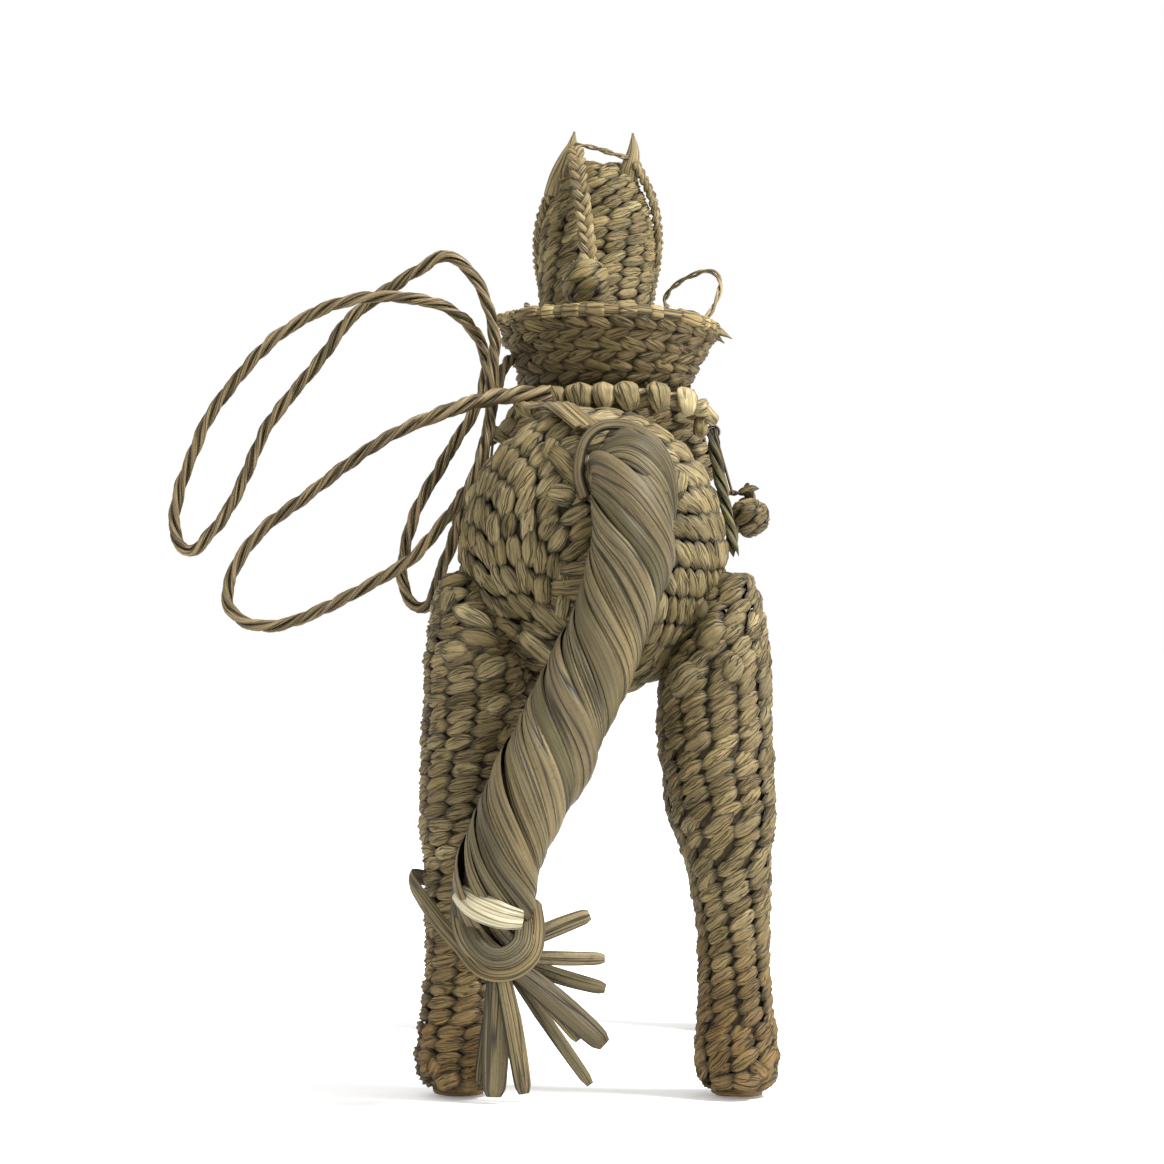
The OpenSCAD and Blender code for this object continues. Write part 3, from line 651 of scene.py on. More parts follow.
def stitching():
    """Geometry Nodes that set one leaf form at each place and crumple it a little."""
    tree = bpy.data.node_groups.new("Leaf stitches", "GeometryNodeTree")
    face = tree.interface
    face.new_socket("Geometry", in_out="INPUT", socket_type="NodeSocketGeometry")
    face.new_socket("Leaf form", in_out="INPUT", socket_type="NodeSocketObject")
    face.new_socket("Crumple", in_out="INPUT", socket_type="NodeSocketFloat")
    face.new_socket("Leaf", in_out="INPUT", socket_type="NodeSocketMaterial")
    face.new_socket("Geometry", in_out="OUTPUT", socket_type="NodeSocketGeometry")
    given = tree.nodes.new("NodeGroupInput")
    turn = add(tree, "GeometryNodeInputNamedAttribute", {"Name": "turn"}, data_type="FLOAT_VECTOR")
    size = add(tree, "GeometryNodeInputNamedAttribute", {"Name": "size"}, data_type="FLOAT_VECTOR")
    tone = add(tree, "GeometryNodeInputNamedAttribute", {"Name": "tone"}, data_type="FLOAT")
    form = add(tree, "GeometryNodeObjectInfo", {"Object": given.outputs["Leaf form"]})
    spin = add(tree, "FunctionNodeEulerToRotation", {"Euler": turn.outputs["Attribute"]})
    placed = add(tree, "GeometryNodeInstanceOnPoints", {
        "Points": given.outputs["Geometry"], "Instance": form.outputs["Geometry"],
        "Rotation": spin.outputs["Rotation"], "Scale": size.outputs["Attribute"]})
    real = add(tree, "GeometryNodeRealizeInstances", {"Geometry": placed.outputs["Instances"]})
    where = add(tree, "GeometryNodeInputPosition")
    seed = add(tree, "ShaderNodeMath", {0: tone.outputs["Attribute"], 1: 50.0}, operation="MULTIPLY")
    noise = add(tree, "ShaderNodeTexNoise", {"Vector": where.outputs["Position"], "W": seed.outputs["Value"],
                                             "Scale": 420.0, "Detail": 2.0}, noise_dimensions="4D")
    middle = add(tree, "ShaderNodeVectorMath", {0: noise.outputs["Color"], 1: (0.5, 0.5, 0.5)},
                 operation="SUBTRACT")
    amount = add(tree, "ShaderNodeMath", {0: given.outputs["Crumple"], 1: 3.0}, operation="MULTIPLY")
    push = add(tree, "ShaderNodeVectorMath", {0: middle.outputs["Vector"], "Scale": amount.outputs["Value"]},
               operation="SCALE")
    moved = add(tree, "GeometryNodeSetPosition", {"Geometry": real.outputs["Geometry"],
                                                  "Offset": push.outputs["Vector"]})
    dressed = add(tree, "GeometryNodeSetMaterial", {"Geometry": moved.outputs["Geometry"],
                                                    "Material": given.outputs["Leaf"]})
    taken = tree.nodes.new("NodeGroupOutput")
    tree.links.new(dressed.outputs["Geometry"], taken.inputs["Geometry"])
    return tree


stitch_tree = stitching()
pleats = [0.0, 0.78, 0.6, 1.0, 0.66, 0.84, 0.0]


def leaf_form(name, shape, columns=10):
    """A leaf form on a grid of unit length and width, with a pleated cross section; shape(x) gives how far it
    rises, its half width and its sideways bend at x along it."""
    rows = len(pleats) - 1
    points, faces, uvs = [], [], []
    for i in range(columns + 1):
        x = -0.5 + i / columns
        rise, half, bend = shape(x)
        for j, pleat in enumerate(pleats):
            s = -1 + 2 * j / rows
            points.append((x, half * s + bend, rise * pleat - 0.45 * (2 * x) ** 4))
    for i in range(columns):
        for j in range(rows):
            a = i * (rows + 1) + j
            b = a + rows + 1
            faces.append((a, b, b + 1, a + 1))
            u, u2, v, v2 = i / columns, (i + 1) / columns, j / rows, (j + 1) / rows
            uvs += [u, v, u2, v, u2, v2, u, v2]
    mesh = bpy.data.meshes.new(name)
    mesh.from_pydata(points, [], faces)
    mesh.uv_layers.new(name="UVMap").data.foreach_set("uv", uvs)
    mesh.polygons.foreach_set("use_smooth", [True] * len(mesh.polygons))
    made = bpy.data.objects.new(name, mesh)
    bpy.context.scene.collection.objects.link(made)
    made.hide_render = True
    return made


def stitch_shape(x):
    """A folded strand: full in the middle, with both ends drawn down to points and bent aside."""
    ends = max(0.0, 1 - abs(2 * x) ** 2.2)
    return ends ** 0.6, 0.5 * max(ends, 0.03) ** 0.82, 0.14 * math.sin(math.pi * x)


def pad_shape(x):
    """A broad folded leaf end: nearly square, tucked under on every side."""
    ends = max(0.0, 1 - abs(2 * x) ** 3.4)
    return ends ** 0.5, 0.5 * (0.5 + 0.5 * ends) * (1 + 0.3 * x), 0.08 * math.sin(math.pi * x)


def drop_shape(x):
    """A leaf folded to a drop: round at one end and drawn to a point at the other."""
    ends = max(0.0, 1 - abs(2 * x) ** 3)
    return ends ** 0.5, 0.5 * max(ends, 0.03) ** 0.55 * (0.86 - 0.5 * x), 0.10 * x


stitch_form = leaf_form("stitch_form", stitch_shape)
pad_form = leaf_form("pad_form", pad_shape)
drop_form = leaf_form("drop_form", drop_shape)


def shadow_finish():
    """Painted shade under the stitches: a nearly black brown, matt leaf that darkens the gaps between them.
    """
    dark = bpy.data.materials.new("painted_shade_leaf")
    dark.use_nodes = True
    tree = dark.node_tree
    place = add(tree, "ShaderNodeTexCoord")
    grain = add(tree, "ShaderNodeTexNoise", {"Vector": place.outputs["Object"], "Scale": 500.0,
                                             "Detail": 2.0})
    tint = add(tree, "ShaderNodeMix", {"Factor": grain.outputs["Fac"], "A": colour("#221a0c"),
                                       "B": colour("#4a3c22")}, data_type="RGBA")
    tree.links.new(tint.outputs["Result"], tree.nodes["Principled BSDF"].inputs["Base Color"])
    tree.nodes["Principled BSDF"].inputs["Roughness"].default_value = 0.95
    return dark


painted_shade_leaf = shadow_finish()


def under_layer(name, node, grow, slot, *replaced, rear=-1.0):
    """A layer of painted shade under a woven skin, dark where it shows between the stitches: a CAD node's own
    shape, swollen or shrunk a little, and kept ahead of rear."""
    mesh = frame["nodes"][node].data.copy()
    mesh.name = name
    work = bmesh.new()
    work.from_mesh(mesh)
    bmesh.ops.remove_doubles(work, verts=work.verts, dist=0.01 * mm)
    bmesh.ops.recalc_face_normals(work, faces=work.faces)
    work.normal_update()
    for vert in work.verts:
        vert.co += vert.normal * grow
        vert.co.y = max(vert.co.y, rear)
    work.to_mesh(mesh)
    work.free()
    mesh.materials.clear()
    mesh.materials.append(painted_shade_leaf)
    made = bpy.data.objects.new(name, mesh)
    bpy.context.scene.collection.objects.link(made)
    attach(made, "root")
    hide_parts(*replaced)
    return made


# Folded leaf pressed flat by the twining: olive straw, pleated, with painted shade where each stitch dives
# under the next.
body_leaf = leaf_finish(
    "twined_body_leaf", ["#877850", "#9a8b64", "#a99b78", "#8f8059", "#b5a885", "#786944"], folds=4.6,
    fibres=11.0, ends=0.12)
body_low, body_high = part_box("body_shell")
body_middle = (body_low + body_high) / 2
barrel = Surface("body_shell")
dome_depth = 24 * mm
rump = Vector((body_middle.x, body_low.y + dome_depth, body_middle.z))
chest = Vector((body_middle.x, body_high.y - dome_depth, body_middle.z))
rump_pole = Vector((body_middle.x - 1 * mm, body_low.y, body_middle.z - 12 * mm))
chest_pole = Vector((body_middle.x, body_high.y, body_middle.z))
barrel_places = stations(rump, chest, rump_pole, chest_pole)
eye = Vector((-2.2 * mm, body_low.y, 157.8 * mm))
half_way = body_middle.y


def on_rump(p):
    return p.y < half_way and (p - eye).length > 8 * mm


for part, seed, keep in (("rump", 11, on_rump), ("shoulder", 12, lambda p: p.y >= half_way)):
    weave = Weave(seed)
    weave.twine(barrel, barrel_places, Vector((1, 0, 0)), pitch=4.3 * mm, step=9.0 * mm, slant=11, keep=keep)
    skin = weave.cloth(part + "_stitches", stitch_form, "root", body_leaf)
    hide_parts("body_shell")
# The stuffing is coloured as painted shade, dark where it shows between the stitches.
under_layer("barrel_stuffing", "body_stuffing", 1.6 * mm, "stem_core", "body_shell", "body_stuffing")

# ---- Middle of the rump ----
# Where the spiral starts, broad flat leaves lie across it, with the first pads of the spiral round them.
level, forward, upward = Vector((1, 0, 0)), Vector((0, 1, 0)), Vector((0, 0, 1))


def pads_on(name, surfaces, pads, material, seed, form=pad_form):
    """Folded pads on the rearmost of some surfaces. A pad is its place across and up, its length, width and
    height, all in millimetres, its slant in degrees and its tone."""
    weave = Weave(seed)
    for x, z, length, width, height, slant, tone in pads:
        found = [s.facing(Vector((x * mm, hind_y - 60 * mm, z * mm)), forward) for s in surfaces]
        found = [f for f in found if f[0] is not None]
        place, normal = min(found, key=lambda f: f[0].y)
        weave.lay(place, level, normal, slant, length * mm, width * mm, height * mm, tone, loose=2.0)
    return weave.cloth(name, form, "root", material)


eye_pads = [(-7, 158, 17, 9.5, 1.5, -2, 0.15), (-5, 164.4, 15, 4.6, 2.4, 4, 0.45),
            (6.3, 158.5, 11, 5, 2.2, 82, 0.2), (-16.5, 157.5, 9.5, 6, 2.4, 80, 0.6),
            (-3, 151, 12, 5, 2.4, -8, 0.3), (3, 166.8, 12, 4.4, 2.0, 12, 0.8),
            (-10.5, 152.5, 9, 5, 2.4, 70, 0.75), (-14.8, 149.2, 15, 8.5, 2.2, -48, 0.9),
            (-18.4, 140, 15, 8.5, 2.2, -42, 0.8), (-25.6, 138.9, 10.5, 6.5, 2.6, -40, 0.55),
            (-20.9, 130.5, 14, 7.5, 2.2, -35, 0.3), (-28.1, 146.1, 11.5, 6.5, 2.2, -35, 0.6)]
eye_leaves = pads_on("rump_eye_leaves", [barrel], eye_pads, body_leaf, seed=13)
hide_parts("body_shell")

# ---- Legs ----
# Four sleeves of the same twining round stem cores, olive above and ochre at the feet. Their stitches stand
# in columns. The left hind leg's stitches lie nearly level and the right one's slant.

# The same leaf as the body, with the same painted shade where each stitch dives under the next, stained to
# ochre where the feet stand.
leg_leaf = leaf_finish("twined_leg_leaf", ["#7c6c48", "#8f7f5a", "#9f8f6b", "#857550", "#aa9b77", "#716240"],
                       folds=4.6, fibres=11.0, ends=0.1, foot="#6e5022", dim=0.64)
leg_surfaces = {}
# Each leg: its node, its seed, its stitches' slant in degrees and how far its columns drift at each row.
legs = [("left_hind_leg", 21, 3, 0.03), ("right_hind_leg", 22, 22, -0.04), ("left_fore_leg", 23, 8, 0.04),
        ("right_fore_leg", 24, 14, -0.04)]
for name, seed, slant, drift in legs:
    low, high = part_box(name)
    surface = Surface(name, reach=0.05)
    leg_surfaces[name] = surface
    outer_x = low.x if abs(low.x) > abs(high.x) else high.x
    side = 1 if outer_x > 0 else -1
    mid_y, shift, lean = (hind_y, 2.5 * mm, 5 * mm) if "hind" in name else (fore_y, 8 * mm, -2 * mm)
    foot = Vector((outer_x - side * 12.6 * mm, mid_y, low.z + 5 * mm))
    top = Vector((foot.x - side * shift, mid_y + lean, high.z - 9 * mm))
    places = stations(foot, top, foot - upward * 10 * mm, Vector((top.x, top.y, high.z)))
    weave = Weave(seed)
    weave.twine(surface, places, forward, pitch=4.3 * mm, step=9.2 * mm, slant=slant, drift=drift,
                overlap=1.22, width=1.32, plump=2.1 * mm)
    sleeve = weave.cloth(name + "_stitches", stitch_form, "root", leg_leaf)
    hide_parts(name)
# The stems are coloured as painted shade, dark where they show between the stitches.
under_layer("leg_stems", "leg_cores", 1.5 * mm, "stem_core", "leg_cores")

# ---- Feet ----
# Each sleeve ends in a coil of strand under the foot, with a few folded ends turned up behind.

# Trodden leaf: brown and dull.
sole_leaf = leaf_finish("sole_leaf", ["#7a6238", "#8b7040", "#69532e"], folds=3.0, fibres=8.0, run=0.3)
work = Leafwork(seed=26)
for side in (-1, 1):
    for x, y in ((43.5 * mm, hind_y), (47.5 * mm, fore_y + 2 * mm)):
        coil = [Vector((side * x + r * math.cos(t), y + r * math.sin(t), 1.5 * mm))
                for t, r in ((k * 0.35, (1.3 + 6.3 * k / 54) * mm) for k in range(55))]
        work.strand(coil, upward, wide=1.45 * mm, thick=1.45 * mm, taper=2 * mm)
soles = work.piece("foot_coils", "root", "leg_leaf", sole_leaf)
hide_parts("foot_soles")
foot_pads = [(-46, 6, 10, 6, 2.6, 20, 0.8), (-39, 5, 9, 5, 2.4, -25, 0.3), (-50, 10, 7, 5, 2.2, 50, 0.5),
             (46, 6, 11, 6, 2.6, -15, 0.7), (39, 5.5, 9, 5, 2.4, 30, 0.2), (50, 9, 7, 5, 2.2, -50, 0.5)]
hind_legs = [leg_surfaces["left_hind_leg"], leg_surfaces["right_hind_leg"]]
foot_ends = pads_on("foot_ends", hind_legs, foot_pads, leg_leaf, seed=27)
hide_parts("foot_soles")

# ---- Hips ----
# Broad folded leaf ends bind each hind leg to the rump, and wide wraps go up the inner side of the left leg.
hip_pads = [(-46.2, 154.5, 10, 7.5, 2.6, 40, 0.9), (-38.5, 149, 14, 8, 2.6, -35, 0.8),
            (-36.5, 142.5, 14, 7.5, 2.6, -20, 0.95), (-32.5, 133, 12, 7.5, 3.0, 12, 0.75),
            (-43.6, 139, 11, 8, 3.0, -20, 0.5), (-30.5, 122, 10, 8, 2.6, 5, 0.4),
            (-27, 112, 10, 8.5, 2.6, 0, 0.6), (-27.5, 101, 9.5, 8, 2.6, 6, 0.35),
            (-29, 91, 9, 7, 2.4, 3, 0.65), (32.8, 151, 9, 8, 3.0, 60, 0.7),
            (35.5, 143.4, 12, 9.5, 3.4, 20, 0.95), (27.3, 130, 12, 12, 3.0, 10, 0.85),
            (42, 133, 10, 8, 2.8, 35, 0.3)]
hip_leaves = pads_on("hip_pads", hind_legs + [barrel], hip_pads, body_leaf, seed=28,
                     form=stitch_form)
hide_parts("hip_knots")

# ---- Neck, head and ears ----
# The neck is twined upward from the withers, and the head is a second sleeve that closes at the muzzle. Each
# ear is a strip of leaf folded to a point.

# Fresher leaf than the body: a yellower straw with the same painted shade where each stitch dives under the
# next.
head_leaf = leaf_finish("twined_head_leaf", ["#80714a", "#908058", "#a09068", "#877850", "#ada078"],
                        folds=4.6, fibres=11.0, ends=0.12)
neck_low, neck_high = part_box("neck_shell")
neck_x = (neck_low.x + neck_high.x) / 2
neck_foot = Vector((neck_x, fore_y - 1 * mm, 206 * mm))
neck_top = Vector((neck_x, fore_y + 20 * mm, 298 * mm))
weave = Weave(seed=31)
weave.twine(Surface("neck_shell"), stations(neck_foot, neck_top, None, neck_top + upward * 10 * mm), forward,
            pitch=4.2 * mm, step=8.6 * mm, slant=12, drift=0.1)
neck = weave.cloth("neck_stitches", stitch_form, "root", head_leaf)
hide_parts("neck_shell")
# The neck's stems are coloured as painted shade, dark where they show between the stitches.
under_layer("neck_stems", "neck_core", 1.6 * mm, "stem_core", "neck_shell", "neck_core")

poll = Vector((neck_x, fore_y + 33 * mm, 285 * mm))
muzzle = Vector((neck_x, fore_y + 65 * mm, 245 * mm))
nose_way = (muzzle - poll).normalized()
weave = Weave(seed=32)
weave.twine(Surface("head_shell"),
            stations(poll, muzzle, poll - nose_way * 20 * mm, muzzle + nose_way * 10 * mm), level,
            pitch=4.2 * mm, step=8.2 * mm, slant=12, drift=0.1)
head = weave.cloth("head_stitches", stitch_form, "root", head_leaf)
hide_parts("head_shell")
# The head's inner layer is coloured as painted shade, dark where it shows between the stitches.
under_layer("head_stems", "head_shell", -1.2 * mm, "woven_leaf", "head_shell")

# Single leaf folded once: paler and smoother than the weave, with fine fibres.
pale_leaf = leaf_finish("pale_folded_leaf", ["#9c8b66", "#ad9d7a", "#8c7b57", "#bdaf90"], folds=5.0,
                        fibres=16.0, run=0.2, dim=0.62)
ear_routes = {"left_ear": [(-9.5, 16, 305), (-10.6, 15.6, 311), (-11.2, 15.6, 317), (-10.4, 17, 323.4)],
              "right_ear": [(8, 16, 304), (9.6, 15.6, 310), (11.0, 15.6, 316), (10.8, 17, 322.8)]}


def pointed(width):
    """The width of a strip that narrows to a point."""
    return lambda t: width * mm * max(0.1, 1 - t ** 2.2)


for name, route in ear_routes.items():
    work = Leafwork(seed=33)
    line = smooth_line(from_legs(route, fore_y), 1.0 * mm)
    for shift, wide, tone in ((-1.6, 5.4, 0.2), (1.6, 5.4, 0.9), (0.0, 6.0, 0.6)):
        moved = [p + level * shift * mm * (1 - i / len(line)) + Vector((0, -abs(shift) * 0.25 * mm, 0))
                 for i, p in enumerate(line)]
        work.strip(moved, [Vector((shift * 0.25, -1, 0.1))] * len(moved),
                   pointed(wide), thick=1.0 * mm, tone=tone, curl=0.35)
    if name == "left_ear":
        flap_route = [(-18, 15.5, 300), (-15.8, 14.8, 308), (-12.8, 15, 316), (-10.6, 16.6, 322)]
        flap = smooth_line(from_legs(flap_route, fore_y), 1.0 * mm)
        work.strip(flap, [Vector((-0.3, -1, 0.1))] * len(flap), pointed(7.5), thick=1.0 * mm, tone=0.4,
                   curl=0.3)
    ear = work.piece(name + "_leaf", "root", "pale_leaf", pale_leaf)
    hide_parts(name)

# ---- Mane and bridle ----
# The mane is a flat pale plait from the left ear down the back of the neck. A twisted strip joins the ears, a
# plait goes down each cheek, and a flat band goes round the muzzle.
mane_route = [(-4, -22, 246.5), (-4.1, -16.5, 251), (-4.3, -11.5, 259), (-5, -6.6, 275), (-6.5, -3.4, 290),
              (-8.2, 0, 303), (-9.5, 6.4, 313), (-10, 13, 316.5)]
work = Leafwork(seed=34)
work.plait(smooth_line(from_legs(mane_route, fore_y), 0.9 * mm), -forward, half_width=2.0 * mm,
           depth=0.9 * mm, wave=12 * mm, radius=1.6 * mm)
mane = work.piece("mane_plait", "root", "pale_leaf", pale_leaf)
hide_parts("mane_braid")

work = Leafwork(seed=35)
brow_route = [(-10, 14.2, 318.5), (-4, 12.6, 317.4), (3, 12.6, 315.3), (9, 14.2, 313.6)]
work.twist(smooth_line(from_legs(brow_route, fore_y), 0.9 * mm), 2.2 * mm, turn_length=12 * mm, strands=2)
brow = work.piece("brow_strip", "root", "pale_leaf", pale_leaf)
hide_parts("browband")
cheek_paths = [
    [(11.5, 13.6, 312), (17.2, 17, 301), (19.9, 20, 289), (19.6, 27, 277), (17.8, 37, 268), (15.6, 47, 259),
     (12.8, 57, 250.6)],
    [(-13, 13.6, 310.5), (-19.4, 17, 301), (-23.4, 20, 289), (-24, 27, 277), (-22.4, 37, 268),
     (-20.2, 47, 259), (-17.2, 57, 250.6)]]
work = Leafwork(seed=36)
for path, side in zip(cheek_paths, (1, -1)):
    work.plait(smooth_line(from_legs(path, fore_y), 0.9 * mm), Vector((side, -0.4, 0)), half_width=1.4 * mm,
               depth=0.6 * mm, wave=9 * mm, radius=1.15 * mm)
cheeks = work.piece("cheek_plaits", "root", "pale_leaf", pale_leaf)
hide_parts("cheek_straps")

nose_low, nose_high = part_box("noseband")
nose_middle = (nose_low + nose_high) / 2
ring = rings_on(Surface("noseband"), [(nose_middle, nose_way, nose_way, 0.0)], level, samples=48)[0]
ring = [p for p in ring if p]
work = Leafwork(seed=37)
for k, shift in enumerate((-1.1, 1.1)):
    work.strip([p + nose_way * shift * mm for p in ring], [(p - nose_middle).normalized() for p in ring],
               wide=2.4 * mm, thick=0.8 * mm, tone=0.3 + 0.4 * k, closed=True)
nose = work.piece("nose_band_leaf", "root", "pale_leaf", pale_leaf)
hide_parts("noseband")

# ---- Tail ----
# Long flat leaves lie over each other like shingles and are twisted into a thick rope. They come out from
# under an arch of pale strip on the rump.

# Each station: its middle from the hind legs, and the tail's radius there.
tail_stations = [
    (8.5, -7, 201, 5.5), (9.2, -17.5, 197, 8.8), (10.6, -26.5, 189.5, 11.4), (11.2, -31.5, 179.5, 11.8),
    (10.2, -33, 167, 12), (6.6, -33.5, 154, 11.5), (0.8, -33.5, 138, 11.8), (-7.2, -34, 122, 12.3),
    (-15, -35.5, 106, 12.5), (-23, -37, 90.5, 12.3), (-28.8, -37, 75.5, 11.9), (-31.2, -34.5, 62.5, 12),
    (-32.3, -28, 53, 10.6), (-31.6, -20.5, 48.6, 8.6)]
tail_middles = from_legs([s[:3] for s in tail_stations], hind_y)
tail_line = smooth_line(tail_middles, 2.0 * mm)
reached = [0.0]
for p, q in zip(tail_line, tail_line[1:]):
    reached.append(reached[-1] + (q - p).length)
tail_radii = []
for p in tail_line:
    near, next_near = sorted(((p - q).length, s[3]) for q, s in zip(tail_middles, tail_stations))[:2]
    share = near[0] / (near[0] + next_near[0])
    tail_radii.append((near[1] * (1 - share) + next_near[1] * share) * mm)
# Whole leaves laid flat: broad faces with long dark folds, a few brown spots and a soft sheen, and painted
# shade along each leaf's margins where it meets the next.
tail_leaf = leaf_finish(
    "twisted_tail_leaf", ["#988863", "#b3a482", "#7c7450", "#c4b696", "#6b6442", "#a08f70"], folds=7.0,
    fibres=28.0, rough=0.55, speckle=0.4, run=0.12, dim=0.42, cut=0.2, edge=(0.75, 0.245, 0.14))
tail_frames = frames_on(tail_line, Vector((0, 1, 0.2)))
work = Leafwork(seed=41)
corners = [math.tau * k / 20 for k in range(20)]
# A core under the leaves, coloured as painted shade where it shows between them.
work.sleeve([[p + (u * math.cos(a) + v * math.sin(a)) * (r - 1.9 * mm) for a in corners]
             for p, (h, u, v), r in zip(tail_line, tail_frames, tail_radii)], 0.5, kind=1)
tail_turn = -math.tau / (68 * mm)
angle = 0.0
while angle < math.tau - 0.1:
    width = work.chance.choice([3.2, 4.4, 5.6, 6.8, 8.0]) * mm
    spread = width / (8 * mm)
    middle = angle + spread / 2
    wobble, pace = work.chance.uniform(0, math.tau), work.chance.uniform(45, 80)
    lift = work.chance.uniform(-0.2, 0.5) * mm
    line, normals = [], []
    for p, (h, u, v), r, run in zip(tail_line, tail_frames, tail_radii, reached):
        a = middle + tail_turn * run + 0.07 * math.sin(run * pace + wobble)
        out = u * math.cos(a) + v * math.sin(a)
        line.append(p + out * (r - 0.9 * mm + lift))
        normals.append((out + (v * math.cos(a) - u * math.sin(a)) * 0.34).normalized())
    work.strip(line, normals, lambda t, w=width, s=wobble: w * 1.4 * (1 + 0.16 * math.sin(t * 13 + s)),
               thick=0.6 * mm, curl=0.28, ribs=0.16 * mm)
    angle += spread
tail = work.piece("tail_leaves", "root", "tail_leaf", tail_leaf, painted_shade_leaf)
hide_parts("tail_bundle")

work = Leafwork(seed=42)
arch_route = [(-3.5, -18, 186), (-5.5, -17.2, 193), (-4.2, -16, 202), (0, -14.6, 207.2), (6, -14.4, 208.6),
              (12, -15.4, 207.4), (17.5, -17, 203.8), (21.8, -18.5, 197.5), (23.6, -20.5, 189.5),
              (22.8, -22.5, 182)]
arch = smooth_line(from_legs(arch_route, hind_y), 1.2 * mm)
hub = from_legs([(9, -10, 193)], hind_y)[0]
work.strip(arch, [Vector((p.x - hub.x, -0.016, p.z - hub.z)).normalized() for p in arch],
           lambda t: 4.6 * mm * (1 - 0.7 * t ** 4), thick=1.1 * mm, tone=0.95, curl=0.3)
hood_hub = from_legs([(10, -14, 186)], hind_y)[0]
upper_fold = [(0.5, -22, 196), (3, -27, 200.5), (9, -30, 203.2), (15, -30.5, 201.5), (20.5, -29, 195.5),
              (23, -27, 187), (23.2, -26, 179)]
lower_fold = [(-1, -24, 190), (1.5, -30, 196), (8, -35, 198.5), (14.5, -37, 195.5), (20, -35.5, 189),
              (23.2, -31, 180)]
for route, wide, tone in ((upper_fold, 7.5, 0.85), (lower_fold, 7, 0.3)):
    line = smooth_line(from_legs(route, hind_y), 1.5 * mm)
    work.strip(line, [(p - hood_hub).normalized() for p in line],
               lambda t, w=wide: w * mm * (1 - 0.7 * t ** 4), thick=0.8 * mm, tone=tone, curl=0.2, cells=8,
               ribs=0.2 * mm)
root_leaves = work.piece("tail_root_leaves", "root", "pale_leaf", tail_leaf)
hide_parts("tail_collar")
knot_pads = [(-8.2, 195.5, 21, 8, 3.4, -53, 0.1), (-11, 187, 10, 8, 2.6, -20, 0.4),
             (-2.2, 194, 14, 5.5, 3.6, 84, 0.8), (-14, 201, 9, 6, 2.4, 60, 0.6),
             (25.5, 190, 12, 6, 2.6, 75, 0.5)]
knot = pads_on("tail_root_knot", [barrel], knot_pads, body_leaf, seed=43)
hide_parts("tail_collar")

# ---- Tail's end ----
# The tail's end is folded back and bound with flat bands. The outermost is one long strip that also goes
# round the left hind leg. Nine loose leaf ends hang below.
work = Leafwork(seed=44)
end_bend = [(-18.4, -30, 62.7), (-17.2, -38, 54.9), (-18.8, -44, 47.6), (-25.6, -46.8, 43), (-34, -47, 44),
            (-41.2, -43.5, 51.5), (-43.8, -37, 60), (-43, -28, 67)]
middle_x, middle_z = -30, 57
for k, (shrink, wide, tone) in enumerate(((0.87, 4.2, 0.15), (0.74, 4.0, 0.7), (0.6, 4.4, 0.45))):
    bend = [(middle_x + (x - middle_x) * shrink, y - 0.9 * k - 0.4, middle_z + (z - middle_z) * shrink)
            for x, y, z in end_bend]
    line = smooth_line(from_legs(bend, hind_y), 1.2 * mm)
    work.strip(line, [Vector(((p.x - middle_x * mm) * 20, -1, (p.z - middle_z * mm) * 20)).normalized()
                      for p in line], wide=wide * mm, thick=0.9 * mm, tone=tone, curl=0.25)
pale_route = [(-41.5, -41, 66.5), (-36, -46.8, 63), (-28.5, -48.6, 60), (-22, -46, 58.5)]
line = smooth_line(from_legs(pale_route, hind_y), 1.2 * mm)
work.strip(line, [Vector((0.1, -1, 0.15))] * len(line),
           lambda t: 8.6 * mm * math.sin(math.pi * (0.22 + 0.56 * t)), thick=0.9 * mm, tone=1.0, curl=0.2,
           kind=1)
# The inner side of one leaf, bleached and smooth: nearly white, with a gloss.
glossy_leaf = leaf_finish("glossy_pale_leaf", ["#cfc8b2", "#d8d2be"], folds=6.0, fibres=20.0, rough=0.3,
                          run=0.16, dim=0.62, cut=0.6)
bands = work.piece("tail_end_bands", "root", "tail_leaf", tail_leaf, glossy_leaf)
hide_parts("tail_binding")

tie_points = [(-18.4, -30, 62.7), (-17.2, -38, 54.9), (-18.8, -44, 47.2), (-25.6, -47, 42.6),
              (-34, -47.5, 43.5), (-41.5, -42, 51), (-48, -32, 57), (-54, -20, 63.5), (-57.6, -8, 68),
              (-54.5, 7, 67), (-44, 13.6, 63), (-33, 10.8, 58), (-28, 0, 54), (-28.2, -8, 51),
              (-30.5, -13, 49)]
# One flat leaf, browner than the tail: fine straight fibres.
tie_leaf = leaf_finish("tie_strip_leaf", ["#84744f", "#95855f"], folds=7.0, fibres=24.0, run=0.16, dim=0.56)
tie_line = smooth_line(from_legs(tie_points, hind_y), 1.2 * mm)
leg_hub = from_legs([(-42, 0, 60)], hind_y)[0]
work = Leafwork(seed=45)
work.strip(tie_line, [Vector((p.x - leg_hub.x, p.y - leg_hub.y, min(0, (p.z - 56 * mm) * 0.6))).normalized()
                      for p in tie_line], wide=4.8 * mm, thick=0.8 * mm, tone=0.6, curl=0.2)
tie = work.piece("tie_strip_leaf", "root", "tie_leaf", tie_leaf)
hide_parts("tie_strip")

